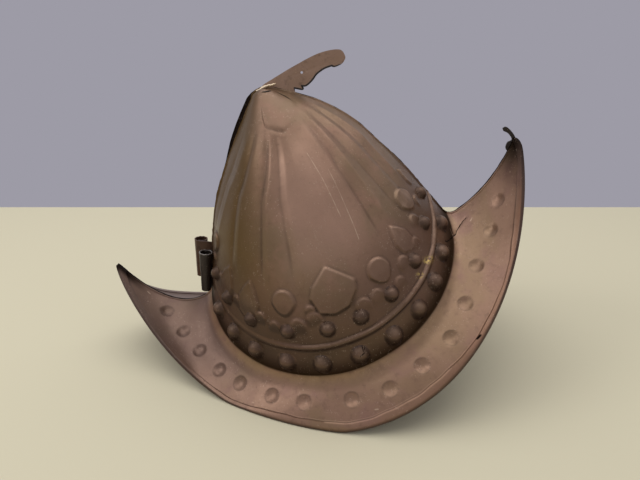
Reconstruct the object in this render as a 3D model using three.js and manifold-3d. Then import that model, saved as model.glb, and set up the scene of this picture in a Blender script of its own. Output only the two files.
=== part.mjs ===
// A morion helmet of embossed sheet metal, in millimetres with +Z up, as it stands on a table.
//
// It is pressed in two halves, each with its side of the tall crown and its side of the crescent brim.
// The halves meet in a narrow standing seam that runs from peak to peak over the top. A flat stalk
// stands on the seam at the top of the crown, and two rolled plume tubes are fixed to its back.
//
// The helmet's own frame has x from the rear peak to the front peak, y across and z up, with its
// origin midway between the two peaks. One turn about y and one shift then stand it on its brim.
//
// A point of the sheet is found from a turn and a station. The turn runs from 0 at the rear to PI at
// the front of one half. The station runs from 0 at the crown's top through 1 at its mouth to 2 at
// the brim's edge.

import * as THREE from "three";
import { mergeVertices } from "three/addons/utils/BufferGeometryUtils.js";
import Module from "manifold-3d";

const wasm = await Module();
wasm.setup();

// The crown.
const CROWN_RISE = 93; // its top above the line through the two peaks
const CROWN_TOP_X = -2; // where its top stands along the span
const KEEL_FOLD = 0.22; // how sharply the upper crown is folded along the seam
const FLUTE_COUNT = 8; // on one half
const FLUTE_DEPTH = 1.6;
const FLUTES = { start: 0.14, end: 0.72 }; // where the flutes run, as shares of the crown's height

// The mouth, where the crown turns out into the brim.
const MOUTH_REAR = 103; // its reach behind the origin
const MOUTH_FRONT = 104; // and in front of it
const MOUTH_WIDTH = 187;
const MOUTH_DROP_ENDS = 49; // its depth below the peaks' line at front and rear
const MOUTH_DROP_SIDES = 104.5; // and at the two sides
const MOUTH_FILLET = 8; // length of sheet bent on each side of the mouth

// The brim.
const PEAK_SPAN = 340; // rear peak to front peak
const BRIM_WIDTH = 236;
const BRIM_DROP = 129.5; // depth of its edge at the sides
const BRIM_SKEW = 0.05; // share by which it is wider ahead of the middle
const BRIM_FLARE = 0.21; // share by which its edge hangs deeper towards the peaks
const BRIM_SAG_REAR = 45; // how far the brim's profile sags below a straight line at the rear
const BRIM_SAG_FRONT = 20; // and at the front
const BRIM_ARCH_SIDES = 4; // how far it arches up at the sides
const FAR_DROOP = { rear: 46, front: 22 }; // how strongly the far half's brim is bent down
const REST_PITCH_DEG = 19; // how far the front peak is tipped up as the helmet stands
const FOOT_FLATTENING = 5; // how far the edge is beaten up where it stands
const FOOT_WEAR = 0.4; // metal worn off its underside there

// The sheet, its seam and its hem.
const SHEET = 1.2;
const GAP = 0.3; // clearance between pieces
const SEAT_DEPTH = 7; // how far in the halves clear what is seated on them
const FLANGE_WALL = 1.2; // wall of each half's upturned flange along the seam
const FLANGE_RISE = 1.2; // how far it stands above the sheet
const HEM_WIDTH = 6; // edge of the brim that is folded back over itself
const HEM_WIDENING = 6; // how much wider the fold is at the front peak
const HEM_RISE = 1.2; // thickness that the fold adds

// The moulding and the crown's embossed domes, with their heights above the mouth at the ends of a
// half and at its side. turns are the places of a row's domes, as shares of the way from rear to front.
const MOULDING = { ends: 25, side: 29, width: 6, rise: 1.4 };
const UPPER_DOMES = {
  ends: 38,
  side: 41,
  diameter: 9.5,
  rise: 3.6,
  turns: [0.1, 0.19, 0.288, 0.391, 0.484, 0.561, 0.645, 0.744, 0.852, 0.95],
};
const LOWER_DOMES = {
  ends: 18.5,
  side: 15.5,
  diameter: 12,
  rise: 4.2,
  turns: [0.125, 0.203, 0.279, 0.364, 0.446, 0.531, 0.614, 0.693, 0.767, 0.842, 0.923],
};
const DOME_SINK = 0.9; // how deep a dome's rim is rooted in the sheet

// The hollows punched into the brim's upper face by hand, a little unevenly. turn is a share as above,
// and out the distance from the mouth.
const HOLLOWS = { diameter: 10, depth: 1.7 };
const HOLLOW_WALL = 1.1; // sheet left under a hollow
const HOLLOWS_AT = [
  { turn: 0.058, out: 47 },
  { turn: 0.111, out: 35.5 },
  { turn: 0.166, out: 27 },
  { turn: 0.23, out: 21.5 },
  { turn: 0.28, out: 17.5 },
  { turn: 0.349, out: 14.5 },
  { turn: 0.408, out: 14 },
  { turn: 0.488, out: 14 },
  { turn: 0.553, out: 16 },
  { turn: 0.616, out: 15 },
  { turn: 0.679, out: 17 },
  { turn: 0.749, out: 15 },
  { turn: 0.828, out: 17.5 },
  { turn: 0.883, out: 31.5 },
  { turn: 0.929, out: 44 },
];

// The stalk.
const STALK_REACH = 63; // from the crown's top to its tip
const STALK_RISE = 9.5; // its highest point above the crown's top
const STALK_WALL = 1.6;
const STALK_HOLE = 1.8;
const SOLDER = { length: 16, width: 5, rise: 2 };
const CURL = { reach: 8, rise: 8, width: 2.4 }; // the curled tongue at the front peak

// The plume tubes. They taper downwards, and each is rolled from a sheet whose tail reaches the crown.
const TUBE_LENGTH = 34;
const TUBE_DIAMETER = 11.5; // at the top
const TUBE_TAPER = 0.3; // share by which the foot is narrower
const TUBE_WALL = 0.95;
const TUBE_CURL_TURNS = 1.08; // how far the rolled sheet laps over itself
const TUBE_STATION = 0.815; // height of the tubes' middles on the crown, as a station
const NEAR_TUBE = { out: 10.2, tail: 0.3, lift: 0 }; // out is measured from the seam's plane
const FAR_TUBE = { out: 10, tail: 9.5, lift: 7 };

// How finely the sheet is faceted.
const COLUMNS_PER_FLUTE = 3;
const CROWN_ROWS = 7;
const BRIM_ROWS = 3;

// The crown's outline from its top down to the mouth. drop is the share of its height, and the other
// columns are shares of its reach at the rear, the side and the front.
const CROWN_PROFILE = [
  { drop: 0.0, rear: 0.0, side: 0.0, front: 0.0 },
  { drop: 0.006, rear: 0.06, side: 0.05, front: 0.03 },
  { drop: 0.03, rear: 0.1, side: 0.11, front: 0.095 },
  { drop: 0.08, rear: 0.17, side: 0.21, front: 0.2 },
  { drop: 0.16, rear: 0.28, side: 0.36, front: 0.35 },
  { drop: 0.3, rear: 0.45, side: 0.56, front: 0.53 },
  { drop: 0.45, rear: 0.62, side: 0.73, front: 0.65 },
  { drop: 0.6, rear: 0.745, side: 0.86, front: 0.765 },
  { drop: 0.8, rear: 0.88, side: 0.97, front: 0.885 },
  { drop: 1.0, rear: 1.0, side: 1.0, front: 1.0 },
];

// The stalk's outline, round from its root at the rear, over its back to the tip and along its cusped
// underside. reach is a share of STALK_REACH and rise a share of STALK_RISE.
const STALK_OUTLINE = [
  { reach: -0.05, rise: -0.35 },
  { reach: 0.02, rise: 0.13 },
  { reach: 0.15, rise: 0.33 },
  { reach: 0.26, rise: 0.47 },
  { reach: 0.38, rise: 0.62 },
  { reach: 0.5, rise: 0.74 },
  { reach: 0.6, rise: 0.84 },
  { reach: 0.7, rise: 0.91 },
  { reach: 0.79, rise: 0.92 },
  { reach: 0.88, rise: 0.86 },
  { reach: 0.95, rise: 0.76 },
  { reach: 1.0, rise: 0.6 },
  { reach: 1.02, rise: 0.31 },
  { reach: 1.02, rise: 0.0 },
  { reach: 0.99, rise: -0.21 },
  { reach: 0.95, rise: -0.3 },
  { reach: 0.88, rise: -0.31 },
  { reach: 0.85, rise: -0.18 },
  { reach: 0.77, rise: -0.18 },
  { reach: 0.71, rise: -0.26 },
  { reach: 0.65, rise: -0.4 },
  { reach: 0.6, rise: -0.63 },
  { reach: 0.54, rise: -0.83 },
  { reach: 0.49, rise: -0.91 },
  { reach: 0.45, rise: -0.8 },
  { reach: 0.45, rise: -1.08 },
  { reach: 0.39, rise: -0.89 },
  { reach: 0.36, rise: -0.77 },
  { reach: 0.35, rise: -1.01 },
  { reach: 0.34, rise: -1.55 },
  { reach: 0.15, rise: -0.8 },
];
const STALK_HOLE_AT = { reach: 0.5, rise: 0.08 };

// Bluntness of the curves seen from above (across) and from the side (down).
const MOUTH_CURVE = { across: 0.91, down: 1.14 };
const RIM_CURVE = { across: 1.5, down: 1.6 };
const KEEL_CURVE = 1.1;

const seamSide = GAP / 2 + FLANGE_WALL;
const pitch = THREE.MathUtils.degToRad(REST_PITCH_DEG);

// A smooth value between the rows of the crown's profile.
function profileValue(share, column) {
  const table = CROWN_PROFILE;
  const last = table.length - 1;
  let k = 1;
  while (k < last && table[k].drop < share) k += 1;
  const rise = (a, b) => (table[b][column] - table[a][column]) / (table[b].drop - table[a].drop);
  const span = table[k].drop - table[k - 1].drop;
  const s = (share - table[k - 1].drop) / span;
  const start = rise(Math.max(0, k - 2), k) * span;
  const end = rise(k - 1, Math.min(last, k + 1)) * span;
  const between = table[k - 1][column] * (1 + 2 * s) * (1 - s) ** 2 + table[k][column] * s * s * (3 - 2 * s);
  return between + start * s * (1 - s) ** 2 + end * s * s * (s - 1);
}

// The mouth and the rim, as points (x, distance from the seam's plane, z).
function mouthPoint(turn) {
  const along = -Math.cos(turn);
  const across = Math.max(0, Math.sin(turn));
  return new THREE.Vector3(
    along * (along < 0 ? MOUTH_REAR : MOUTH_FRONT),
    seamSide + (MOUTH_WIDTH / 2 - seamSide) * across ** MOUTH_CURVE.across,
    -MOUTH_DROP_ENDS - (MOUTH_DROP_SIDES - MOUTH_DROP_ENDS) * across ** MOUTH_CURVE.down,
  );
}

function rawRimPoint(turn) {
  const along = -Math.cos(turn);
  const across = Math.max(0, Math.sin(turn));
  const reach = (BRIM_WIDTH / 2 - seamSide) * across ** RIM_CURVE.across;
  return new THREE.Vector3(
    (along * PEAK_SPAN) / 2,
    seamSide + reach * (1 + BRIM_SKEW * along),
    -BRIM_DROP * across ** RIM_CURVE.down * (1 + BRIM_FLARE * along * along),
  );
}

// Height of a point as the helmet stands, above the level of its own origin.
function standingHeight(point) {
  return point.x * Math.sin(pitch) + point.z * Math.cos(pitch);
}

const RIM_SAMPLES = 90;
const rimHeights = Array.from({ length: RIM_SAMPLES + 1 }, (_, k) =>
  standingHeight(rawRimPoint((k / RIM_SAMPLES) * Math.PI)),
);
const footLevel = Math.min(...rimHeights) + FOOT_FLATTENING;

// The rim is beaten up, softly, to the level on which the helmet stands.
function rimPoint(turn) {
  const softness = 0.6;
  const rim = rawRimPoint(turn);
  const above = (standingHeight(rim) - footLevel) / softness;
  const lift = above > 20 ? 0 : softness * Math.log(1 + Math.exp(above)) - softness * above;
  rim.x += lift * Math.sin(pitch);
  rim.z += lift * Math.cos(pitch);
  return rim;
}

function crownPoint(turn, drop) {
  const along = -Math.cos(turn);
  const across = Math.max(0, Math.sin(turn));
  const end = profileValue(drop, along < 0 ? "rear" : "front");
  const side = profileValue(drop, "side");
  const fold = 1 - KEEL_FOLD * across * (1 - across) * (1 - drop);
  const reach = (end + (side - end) * across ** 2) * fold;
  const mouth = mouthPoint(turn);
  const sharpness = KEEL_CURVE + (MOUTH_CURVE.across - KEEL_CURVE) * drop;
  return new THREE.Vector3(
    CROWN_TOP_X + (mouth.x - CROWN_TOP_X) * reach,
    seamSide + (MOUTH_WIDTH / 2 - seamSide) * across ** sharpness * reach,
    CROWN_RISE + (mouth.z - CROWN_RISE) * drop,
  );
}

// A quadratic curve from the mouth to the rim. It sags at the peaks and arches at the sides.
function brimPoint(turn, share) {
  const mouth = mouthPoint(turn);
  const rim = rimPoint(turn);
  const along = -Math.cos(turn);
  const endSag = along < 0 ? BRIM_SAG_REAR : BRIM_SAG_FRONT;
  const control = mouth.clone().lerp(rim, 0.6);
  control.z -= (endSag + BRIM_ARCH_SIDES) * Math.abs(along) ** 3 - BRIM_ARCH_SIDES;
  return mouth.lerp(control, share).lerp(control.lerp(rim, share), share);
}

function crownLength(turn) {
  return CROWN_RISE - mouthPoint(turn).z;
}

function brimLength(turn) {
  return rimPoint(turn).distanceTo(mouthPoint(turn));
}

// A length that changes from the ends of a half to its side.
function between({ ends, side }, turn) {
  return ends + (side - ends) * Math.sin(turn);
}

function stationAbove(heights) {
  return (turn) => 1 - between(heights, turn) / crownLength(turn);
}

// The sheet without its relief, with a rounded bend at the mouth.
function sheetPoint(turn, station) {
  const up = MOUTH_FILLET / crownLength(turn);
  const down = MOUTH_FILLET / brimLength(turn);
  if (station <= 1 - up) return crownPoint(turn, station);
  if (station >= 1 + down) return brimPoint(turn, station - 1);
  const share = (station - 1 + up) / (up + down);
  const corner = mouthPoint(turn);
  const start = crownPoint(turn, 1 - up).lerp(corner, share);
  return start.lerp(corner.lerp(brimPoint(turn, down), share), share);
}

// The same on one half. The far half's brim is bent down between its peaks and its side.
function halfPoint(side, turn, station) {
  const point = sheetPoint(turn, station);
  const endward = Math.cos(turn);
  const droop = endward > 0 ? FAR_DROOP.rear : FAR_DROOP.front;
  if (side > 0 && station > 1) {
    point.z -= droop * Math.max(0, Math.sin(turn)) ** 0.7 * endward ** 8 * (station - 1) ** 2;
  }
  return point.setY(side * point.y);
}

// The outward normal. Along the seam it lies in the seam's plane.
function sheetNormal(turn, station) {
  const step = 0.004;
  const onSeam = turn < step || turn > Math.PI - step;
  const t = THREE.MathUtils.clamp(turn, step, Math.PI - step);
  const s = THREE.MathUtils.clamp(station, step, 2 - step);
  const round = sheetPoint(t + step, s).sub(sheetPoint(t - step, s));
  const down = sheetPoint(t, s + step).sub(sheetPoint(t, s - step));
  const normal = round.cross(down);
  if (onSeam) normal.y = 0;
  return normal.normalize();
}

// The flutes are grooves between sharp ridges. They fade out at both ends.
function fluteRelief(turn, station) {
  const share = (station - FLUTES.start) / (FLUTES.end - FLUTES.start);
  if (share <= 0 || share >= 1) return 0;
  const fade = Math.sin(Math.PI * share);
  return -FLUTE_DEPTH * fade * Math.sin(turn * FLUTE_COUNT) ** 2;
}

// Rows from the crown's top to the rim. emboss moves both faces, and fold only the outer one.
function sheetRows(turn) {
  const rows = [];
  const moulding = stationAbove(MOULDING)(turn);
  const half = MOULDING.width / 2 / crownLength(turn);
  const up = MOUTH_FILLET / crownLength(turn);
  const down = MOUTH_FILLET / brimLength(turn);
  const hemWidth = HEM_WIDTH + HEM_WIDENING * Math.max(0, -Math.cos(turn));
  const hem = 1 - hemWidth / brimLength(turn);
  const row = (station, emboss = 0, fold = 0) => rows.push({ station, emboss, fold });
  row(CROWN_PROFILE[1].drop);
  for (let k = 1; k <= CROWN_ROWS; k += 1) {
    const station = (k / CROWN_ROWS) ** 1.3 * (moulding - half);
    row(station, fluteRelief(turn, station));
  }
  row(moulding, MOULDING.rise);
  row(moulding + half);
  row(1 - up);
  row(1 - up + (up + down) / 3);
  row(1 - up + ((up + down) * 2) / 3);
  for (let k = 0; k <= BRIM_ROWS; k += 1) {
    row(1 + down + (hem - down) * (k / BRIM_ROWS));
  }
  row(1 + hem + 0.3 / brimLength(turn), 0, HEM_RISE);
  row(2, 0, HEM_RISE);
  return rows;
}

// Columns round one half. The two at each end are the sides of the flange.
function sheetColumns() {
  const count = FLUTE_COUNT * COLUMNS_PER_FLUTE;
  const flange = (turn, out) => ({ turn, out, rise: FLANGE_RISE });
  const columns = [flange(0, GAP / 2), flange(0, seamSide)];
  for (let k = 0; k <= count; k += 1) columns.push({ turn: (k / count) * Math.PI, rise: 0 });
  columns.push(flange(Math.PI, seamSide), flange(Math.PI, GAP / 2));
  return columns;
}

// A closed skin between an outer and an inner face of one half. side is -1 or 1. grow moves the
// outer face and depth is the distance from the plain sheet in to the inner face.
function halfShell(side, grow = 0, depth = SHEET) {
  const columns = sheetColumns();
  const last = columns.length - 1;
  const positions = [];
  const faces = [];
  const gapSide = GAP / 2 - grow;
  const mirror = new THREE.Vector3(1, side, 1);
  const add = (x, out, z) => positions.push(x, side * out, z) / 3 - 1;
  const triangle = (a, b, c) => {
    if (a === b || b === c || a === c) return;
    faces.push(...(side > 0 ? [a, c, b] : [a, b, c]));
  };
  const quad = (a, b, c, d) => {
    triangle(a, b, c);
    triangle(a, c, d);
  };
  const outerOut = (column) => (column.out === GAP / 2 ? gapSide : column.out + grow);
  const innerOut = (index) => gapSide + ((seamSide - gapSide) * Math.min(index, last - index)) / 2;

  const poleOuter = add(CROWN_TOP_X, seamSide, CROWN_RISE + grow);
  const poleInner = add(CROWN_TOP_X, seamSide, CROWN_RISE - 2 * depth);
  const flangePole = [GAP / 2, seamSide].map((out) => ({
    outer: add(CROWN_TOP_X, outerOut({ out }), CROWN_RISE + FLANGE_RISE + grow),
  }));
  const gapPoleInner = add(CROWN_TOP_X, innerOut(0), CROWN_RISE - 2 * depth);
  const midPoleInner = add(CROWN_TOP_X, innerOut(1), CROWN_RISE - 2 * depth);

  const grid = columns.map((column, index) => {
    const fromEdge = Math.min(index, last - index);
    const outer = [fromEdge < 2 ? flangePole[fromEdge].outer : poleOuter];
    const inner = [[gapPoleInner, midPoleInner][fromEdge] ?? poleInner];
    sheetRows(column.turn).forEach(({ station, emboss, fold }) => {
      const base = halfPoint(side, column.turn, station).multiply(mirror);
      const normal = sheetNormal(column.turn, station);
      const out = base.clone().addScaledVector(normal, Math.max(emboss + fold, column.rise) + grow);
      const under = base.addScaledVector(normal, emboss - depth);
      if (fromEdge < 2) {
        out.y = outerOut(column);
        under.y = innerOut(index);
      }
      outer.push(add(out.x, out.y, out.z));
      inner.push(add(under.x, under.y, under.z));
    });
    return { outer, inner };
  });

  const end = grid[0].outer.length - 1;
  for (let c = 0; c < last; c += 1) {
    const a = grid[c];
    const b = grid[c + 1];
    for (let r = 0; r < end; r += 1) {
      quad(a.outer[r], a.outer[r + 1], b.outer[r + 1], b.outer[r]);
      quad(a.inner[r], b.inner[r], b.inner[r + 1], a.inner[r + 1]);
    }
    quad(a.outer[end], a.inner[end], b.inner[end], b.outer[end]);
  }
  for (let r = 0; r < end; r += 1) {
    const [a, b] = [grid[0], grid[last]];
    quad(a.outer[r], a.inner[r], a.inner[r + 1], a.outer[r + 1]);
    quad(b.outer[r], b.outer[r + 1], b.inner[r + 1], b.inner[r]);
  }
  return new wasm.Manifold(
    new wasm.Mesh({
      numProp: 3,
      vertProperties: new Float32Array(positions),
      triVerts: new Uint32Array(faces),
    }),
  );
}

// A closed geometry as a solid, and a solid as a geometry.
function solidOf(geometry) {
  const bare = geometry.clone();
  bare.deleteAttribute("normal");
  bare.deleteAttribute("uv");
  const merged = mergeVertices(bare, 1e-4);
  return new wasm.Manifold(
    new wasm.Mesh({
      numProp: 3,
      vertProperties: new Float32Array(merged.attributes.position.array),
      triVerts: new Uint32Array(merged.index.array),
    }),
  );
}

function geometryOf(solid) {
  const mesh = solid.getMesh();
  const geometry = new THREE.BufferGeometry();
  geometry.setAttribute("position", new THREE.BufferAttribute(new Float32Array(mesh.vertProperties), 3));
  geometry.setIndex(new THREE.BufferAttribute(new Uint32Array(mesh.triVerts), 1));
  geometry.computeVertexNormals();
  return geometry;
}

function domeGeometry({ diameter, rise }) {
  const radius = diameter / 2;
  const profile = [
    new THREE.Vector2(0, -DOME_SINK),
    new THREE.Vector2(radius, -DOME_SINK),
    new THREE.Vector2(radius * 0.7, rise * 0.8),
    new THREE.Vector2(0, rise),
  ];
  return new THREE.LatheGeometry(profile, 6).rotateX(Math.PI / 2);
}

// A geometry moved to a place on the sheet, with its own z along the outward normal, or along the
// inward one and from that far below the outer face.
function onSheet(geometry, side, turn, station, below = null) {
  const place = halfPoint(side, turn, station);
  const normal = sheetNormal(turn, station).multiply(new THREE.Vector3(1, side, 1));
  if (below !== null) {
    normal.negate();
    place.addScaledVector(normal, below);
  }
  const spin = new THREE.Quaternion().setFromUnitVectors(new THREE.Vector3(0, 0, 1), normal);
  return solidOf(geometry.clone().applyQuaternion(spin).translate(place.x, place.y, place.z));
}

function domes(side) {
  return [UPPER_DOMES, LOWER_DOMES].flatMap((size) => {
    const dome = domeGeometry(size);
    const stationAt = stationAbove(size);
    return size.turns.map((share) => onSheet(dome, side, share * Math.PI, stationAt(share * Math.PI)));
  });
}

// The brim's hollows: what each adds below the sheet and what it takes out of its upper face.
function hollows(side) {
  const { diameter, depth } = HOLLOWS;
  const back = domeGeometry({ diameter, rise: depth + HOLLOW_WALL - SHEET });
  const pit = domeGeometry({ diameter: diameter - HOLLOW_WALL, rise: depth });
  const press = (geometry, below) =>
    HOLLOWS_AT.map((place) => {
      const turn = place.turn * Math.PI;
      return onSheet(geometry, side, turn, 1 + place.out / brimLength(turn), below);
    });
  return { backs: press(back, SHEET), pits: press(pit, 0) };
}

// The tongue of the far half's flange that curls back over the front peak.
function peakCurl() {
  const { reach, rise, width } = CURL;
  const root = halfPoint(1, Math.PI, 2);
  const shape = new THREE.Shape();
  shape.moveTo(-width - 0.5, -4);
  shape.quadraticCurveTo(-width, rise * 0.4, -reach, rise * 0.8);
  shape.lineTo(-reach + 0.6, rise);
  shape.quadraticCurveTo(0.3, rise * 0.7, 0.5, -4);
  return new THREE.ExtrudeGeometry(shape, { depth: FLANGE_WALL, bevelEnabled: false, curveSegments: 5 })
    .rotateX(Math.PI / 2)
    .translate(root.x, GAP / 2 + FLANGE_WALL, root.z);
}

// The block of air below the level on which the helmet stands, in the helmet's own frame.
function groundBlock() {
  const { vertProperties } = halfShell(-1).getMesh();
  let lowest = Infinity;
  for (let k = 0; k < vertProperties.length; k += 3) {
    lowest = Math.min(lowest, standingHeight({ x: vertProperties[k], z: vertProperties[k + 2] }));
  }
  const size = 2 * PEAK_SPAN;
  const block = new THREE.BoxGeometry(size, size, size);
  return block.translate(0, 0, lowest + FOOT_WEAR - size / 2).rotateY(pitch);
}

function embossedHalf(side) {
  const { backs, pits } = hollows(side);
  const additions = [...domes(side), ...backs];
  if (side > 0) additions.push(solidOf(peakCurl()));
  const shell = additions.reduce((body, addition) => body.add(addition), halfShell(side));
  const pitted = pits.reduce((body, pit) => body.subtract(pit), shell);
  return pitted.subtract(solidOf(groundBlock()));
}

// The space that the two halves fill, grown by the clearance, for seating other pieces on them.
function seat() {
  return halfShell(-1, GAP, SEAT_DEPTH).add(halfShell(1, GAP, SEAT_DEPTH));
}

// A flat plate in the seam's plane, with a bead of solder round its root.
function stalk() {
  const point = ({ reach, rise }) => new THREE.Vector2(reach * STALK_REACH, rise * STALK_RISE);
  const outline = new THREE.Shape(STALK_OUTLINE.map(point));
  const hole = point(STALK_HOLE_AT);
  outline.holes.push(new THREE.Path().absarc(hole.x, hole.y, STALK_HOLE / 2, 0, 2 * Math.PI));
  const plate = new THREE.ExtrudeGeometry(outline, { depth: STALK_WALL, bevelEnabled: false, curveSegments: 4 })
    .translate(0, 0, -STALK_WALL / 2)
    .rotateX(Math.PI / 2)
    .translate(CROWN_TOP_X, 0, CROWN_RISE);
  const bead = new THREE.SphereGeometry(1, 8, 4)
    .scale(SOLDER.length / 2, SOLDER.width / 2, SOLDER.rise)
    .translate(CROWN_TOP_X + SOLDER.length / 4, 0, CROWN_RISE);
  return solidOf(plate).add(solidOf(bead)).subtract(seat());
}

// Outline of a rolled tube: a circle that laps over itself and ends in a straight tail. The tail
// leaves the circle along -x, towards the crown, on the side of -y.
function rolledOutline(tail) {
  const steps = 18;
  const radius = (TUBE_DIAMETER - TUBE_WALL) / 2;
  const centre = (share) => {
    const turns = share * TUBE_CURL_TURNS;
    const inward = Math.max(0, turns - 0.5) * 2 * (TUBE_WALL + GAP + 0.1);
    return { angle: (turns - 0.25) * 2 * Math.PI, r: radius - inward };
  };
  const outer = [];
  const inner = [];
  for (let k = 0; k <= steps; k += 1) {
    const { angle, r } = centre(k / steps);
    const direction = new THREE.Vector2(Math.cos(angle), Math.sin(angle));
    outer.push(direction.clone().multiplyScalar(r + TUBE_WALL / 2));
    inner.push(direction.multiplyScalar(r - TUBE_WALL / 2));
  }
  const tailEnd = -tail - TUBE_DIAMETER / 2;
  const outside = new THREE.Vector2(tailEnd, -radius - TUBE_WALL / 2);
  const inside = new THREE.Vector2(tailEnd, -radius + TUBE_WALL / 2);
  return new THREE.Shape([outside, ...outer, ...inner.reverse(), inside]);
}

// side is the half that carries the tube. out is its axis's distance from the seam's plane, tail the
// sheet between the tube and the crown, and lift how far it is moved up its own axis.
function plumeTube(side, { out, tail, lift }) {
  const turn = Math.asin(out / (MOUTH_WIDTH / 2));
  const foot = sheetPoint(turn, TUBE_STATION);
  const below = sheetPoint(turn, TUBE_STATION + 0.05).sub(sheetPoint(turn, TUBE_STATION - 0.05));
  const lean = Math.atan2(below.x, -below.z);
  const shape = rolledOutline(tail + SHEET);
  const tube = new THREE.ExtrudeGeometry(shape, { depth: TUBE_LENGTH, bevelEnabled: false });
  taper(tube);
  tube
    .translate(0, 0, -TUBE_LENGTH / 2 + lift)
    .scale(-1, side, 1)
    .rotateY(-lean)
    .translate(foot.x - tail - TUBE_DIAMETER / 2, side * out, foot.z);
  if (side > 0) flipFaces(tube);
  return solidOf(tube).subtract(seat());
}

// Narrows a rolled tube towards its foot, but leaves its tail's end where it is.
function taper(tube) {
  const position = tube.attributes.position;
  for (let k = 0; k < position.count; k += 1) {
    const narrower = 1 - TUBE_TAPER * (1 - position.getZ(k) / TUBE_LENGTH);
    const onTail = position.getX(k) < -TUBE_DIAMETER / 2;
    position.setX(k, position.getX(k) * (onTail ? 1 : narrower));
    position.setY(k, position.getY(k) * narrower);
  }
}

// Turns a mirrored geometry's faces the right way out.
function flipFaces(geometry) {
  const position = geometry.attributes.position;
  const corner = new THREE.Vector3();
  const swap = new THREE.Vector3();
  for (let k = 0; k < position.count; k += 3) {
    corner.fromBufferAttribute(position, k + 1);
    swap.fromBufferAttribute(position, k + 2);
    position.setXYZ(k + 1, swap.x, swap.y, swap.z);
    position.setXYZ(k + 2, corner.x, corner.y, corner.z);
  }
}

const patina = () => new THREE.MeshStandardMaterial({ color: 0x6a5142, roughness: 0.55, metalness: 0.6 });
const darkIron = () => new THREE.MeshStandardMaterial({ color: 0x3e3029, roughness: 0.6, metalness: 0.6 });

function piece(name, solid, material) {
  const mesh = new THREE.Mesh(geometryOf(solid), material);
  mesh.name = name;
  return mesh;
}

const helmet = new THREE.Group();
helmet.add(piece("shell_half_near", embossedHalf(-1), patina()));
helmet.add(piece("shell_half_far", embossedHalf(1), patina()));
helmet.add(piece("stalk", stalk(), patina()));
helmet.add(piece("plume_tube_near", plumeTube(-1, NEAR_TUBE), darkIron()));
helmet.add(piece("plume_tube_far", plumeTube(1, FAR_TUBE), darkIron()));
helmet.rotation.y = -pitch;

const stand = new THREE.Group();
stand.add(helmet);
const bounds = new THREE.Box3().setFromObject(stand, true);
helmet.position.set(-(bounds.min.x + bounds.max.x) / 2, 0, -bounds.min.z);

export default stand;
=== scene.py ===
# %% [markdown]
# # A morion helmet of embossed sheet iron
#
# The real helmet is pressed in two halves from thin sheet. Each half has its side of the tall crown
# and its side of the crescent brim, and the two are joined in a standing seam from peak to peak. A
# flat stalk is soldered to the top, and two rolled tubes for plumes sit on the back.
#
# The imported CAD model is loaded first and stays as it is. It fixes every size and place. Its solids
# are coarse, so each one is replaced here by a fine mesh with all its ornament.

# %% Load the fixed frame
import math

import bmesh
import bpy
import numpy as np
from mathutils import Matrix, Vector


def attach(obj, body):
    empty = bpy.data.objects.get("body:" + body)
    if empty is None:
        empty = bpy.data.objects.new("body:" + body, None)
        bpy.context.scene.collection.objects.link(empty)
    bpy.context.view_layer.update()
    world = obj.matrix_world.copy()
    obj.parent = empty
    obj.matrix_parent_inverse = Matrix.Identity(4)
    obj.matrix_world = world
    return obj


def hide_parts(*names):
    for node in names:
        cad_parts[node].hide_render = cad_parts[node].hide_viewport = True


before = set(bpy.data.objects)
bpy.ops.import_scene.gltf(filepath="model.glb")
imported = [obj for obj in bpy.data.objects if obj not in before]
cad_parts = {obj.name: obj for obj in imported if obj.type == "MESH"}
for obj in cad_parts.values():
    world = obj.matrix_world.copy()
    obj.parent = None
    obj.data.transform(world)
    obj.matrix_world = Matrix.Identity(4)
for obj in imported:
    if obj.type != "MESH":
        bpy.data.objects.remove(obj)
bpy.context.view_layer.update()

# %% [markdown]
# ## The camera
#
# The camera stands in front of the helmet's near side and looks down on it. Its place and its lens
# were fitted to the photograph's outline together with the helmet's shape, so the two belong to each
# other. The frame has the rear peak on the left and the front peak on the right.

# %% Camera
MM = 0.001
CAMERA_AT = (9.34 * MM, -369 * MM, 244.9 * MM)
CAMERA_DOWN = math.radians(22.1)
FOCAL_PIXELS = 480.6
FRAME_PIXELS = 640
SENSOR = 36

lens = bpy.data.cameras.new("camera")
lens.sensor_width = SENSOR
lens.lens = FOCAL_PIXELS / FRAME_PIXELS * SENSOR
lens.clip_start = 0.01
camera = bpy.data.objects.new("camera", lens)
camera.location = CAMERA_AT
camera.rotation_euler = (math.pi / 2 - CAMERA_DOWN, 0, 0)
bpy.context.collection.objects.link(camera)
bpy.context.scene.camera = camera
print("lens, mm:", round(lens.lens, 2))

# %% [markdown]
# ## Small helpers for nodes
#
# Both the materials and the Geometry Nodes below are built from code. `node` makes one node, sets
# its options and fills its sockets. A socket that is handed in is linked, and a plain value is set.


# %% Node helpers
def node(tree, kind, sockets=None, **options):
    made = tree.nodes.new(kind)
    for name, value in options.items():
        setattr(made, name, value)
    for name, value in (sockets or {}).items():
        socket = made.inputs[name]
        if isinstance(value, bpy.types.NodeSocket):
            tree.links.new(value, socket)
        else:
            socket.default_value = value
    return made


def math_node(tree, operation, *values, clamp=False):
    made = node(tree, "ShaderNodeMath", dict(enumerate(values)), operation=operation, use_clamp=clamp)
    return made.outputs[0]


def span(tree, value, low, high, start=0.0, end=1.0):
    """start below low, end above high, and smooth between them."""
    limits = {"Value": value, "From Min": low, "From Max": high, "To Min": start, "To Max": end}
    made = node(tree, "ShaderNodeMapRange", limits, interpolation_type="SMOOTHSTEP")
    return made.outputs["Result"]


def mix_colour(tree, factor, first, second, blend="MIX"):
    made = node(tree, "ShaderNodeMix", data_type="RGBA", blend_type=blend)
    for index, value in ((0, factor), (6, first), (7, second)):
        if isinstance(value, bpy.types.NodeSocket):
            tree.links.new(value, made.inputs[index])
        else:
            made.inputs[index].default_value = value
    return made.outputs[2]


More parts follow.
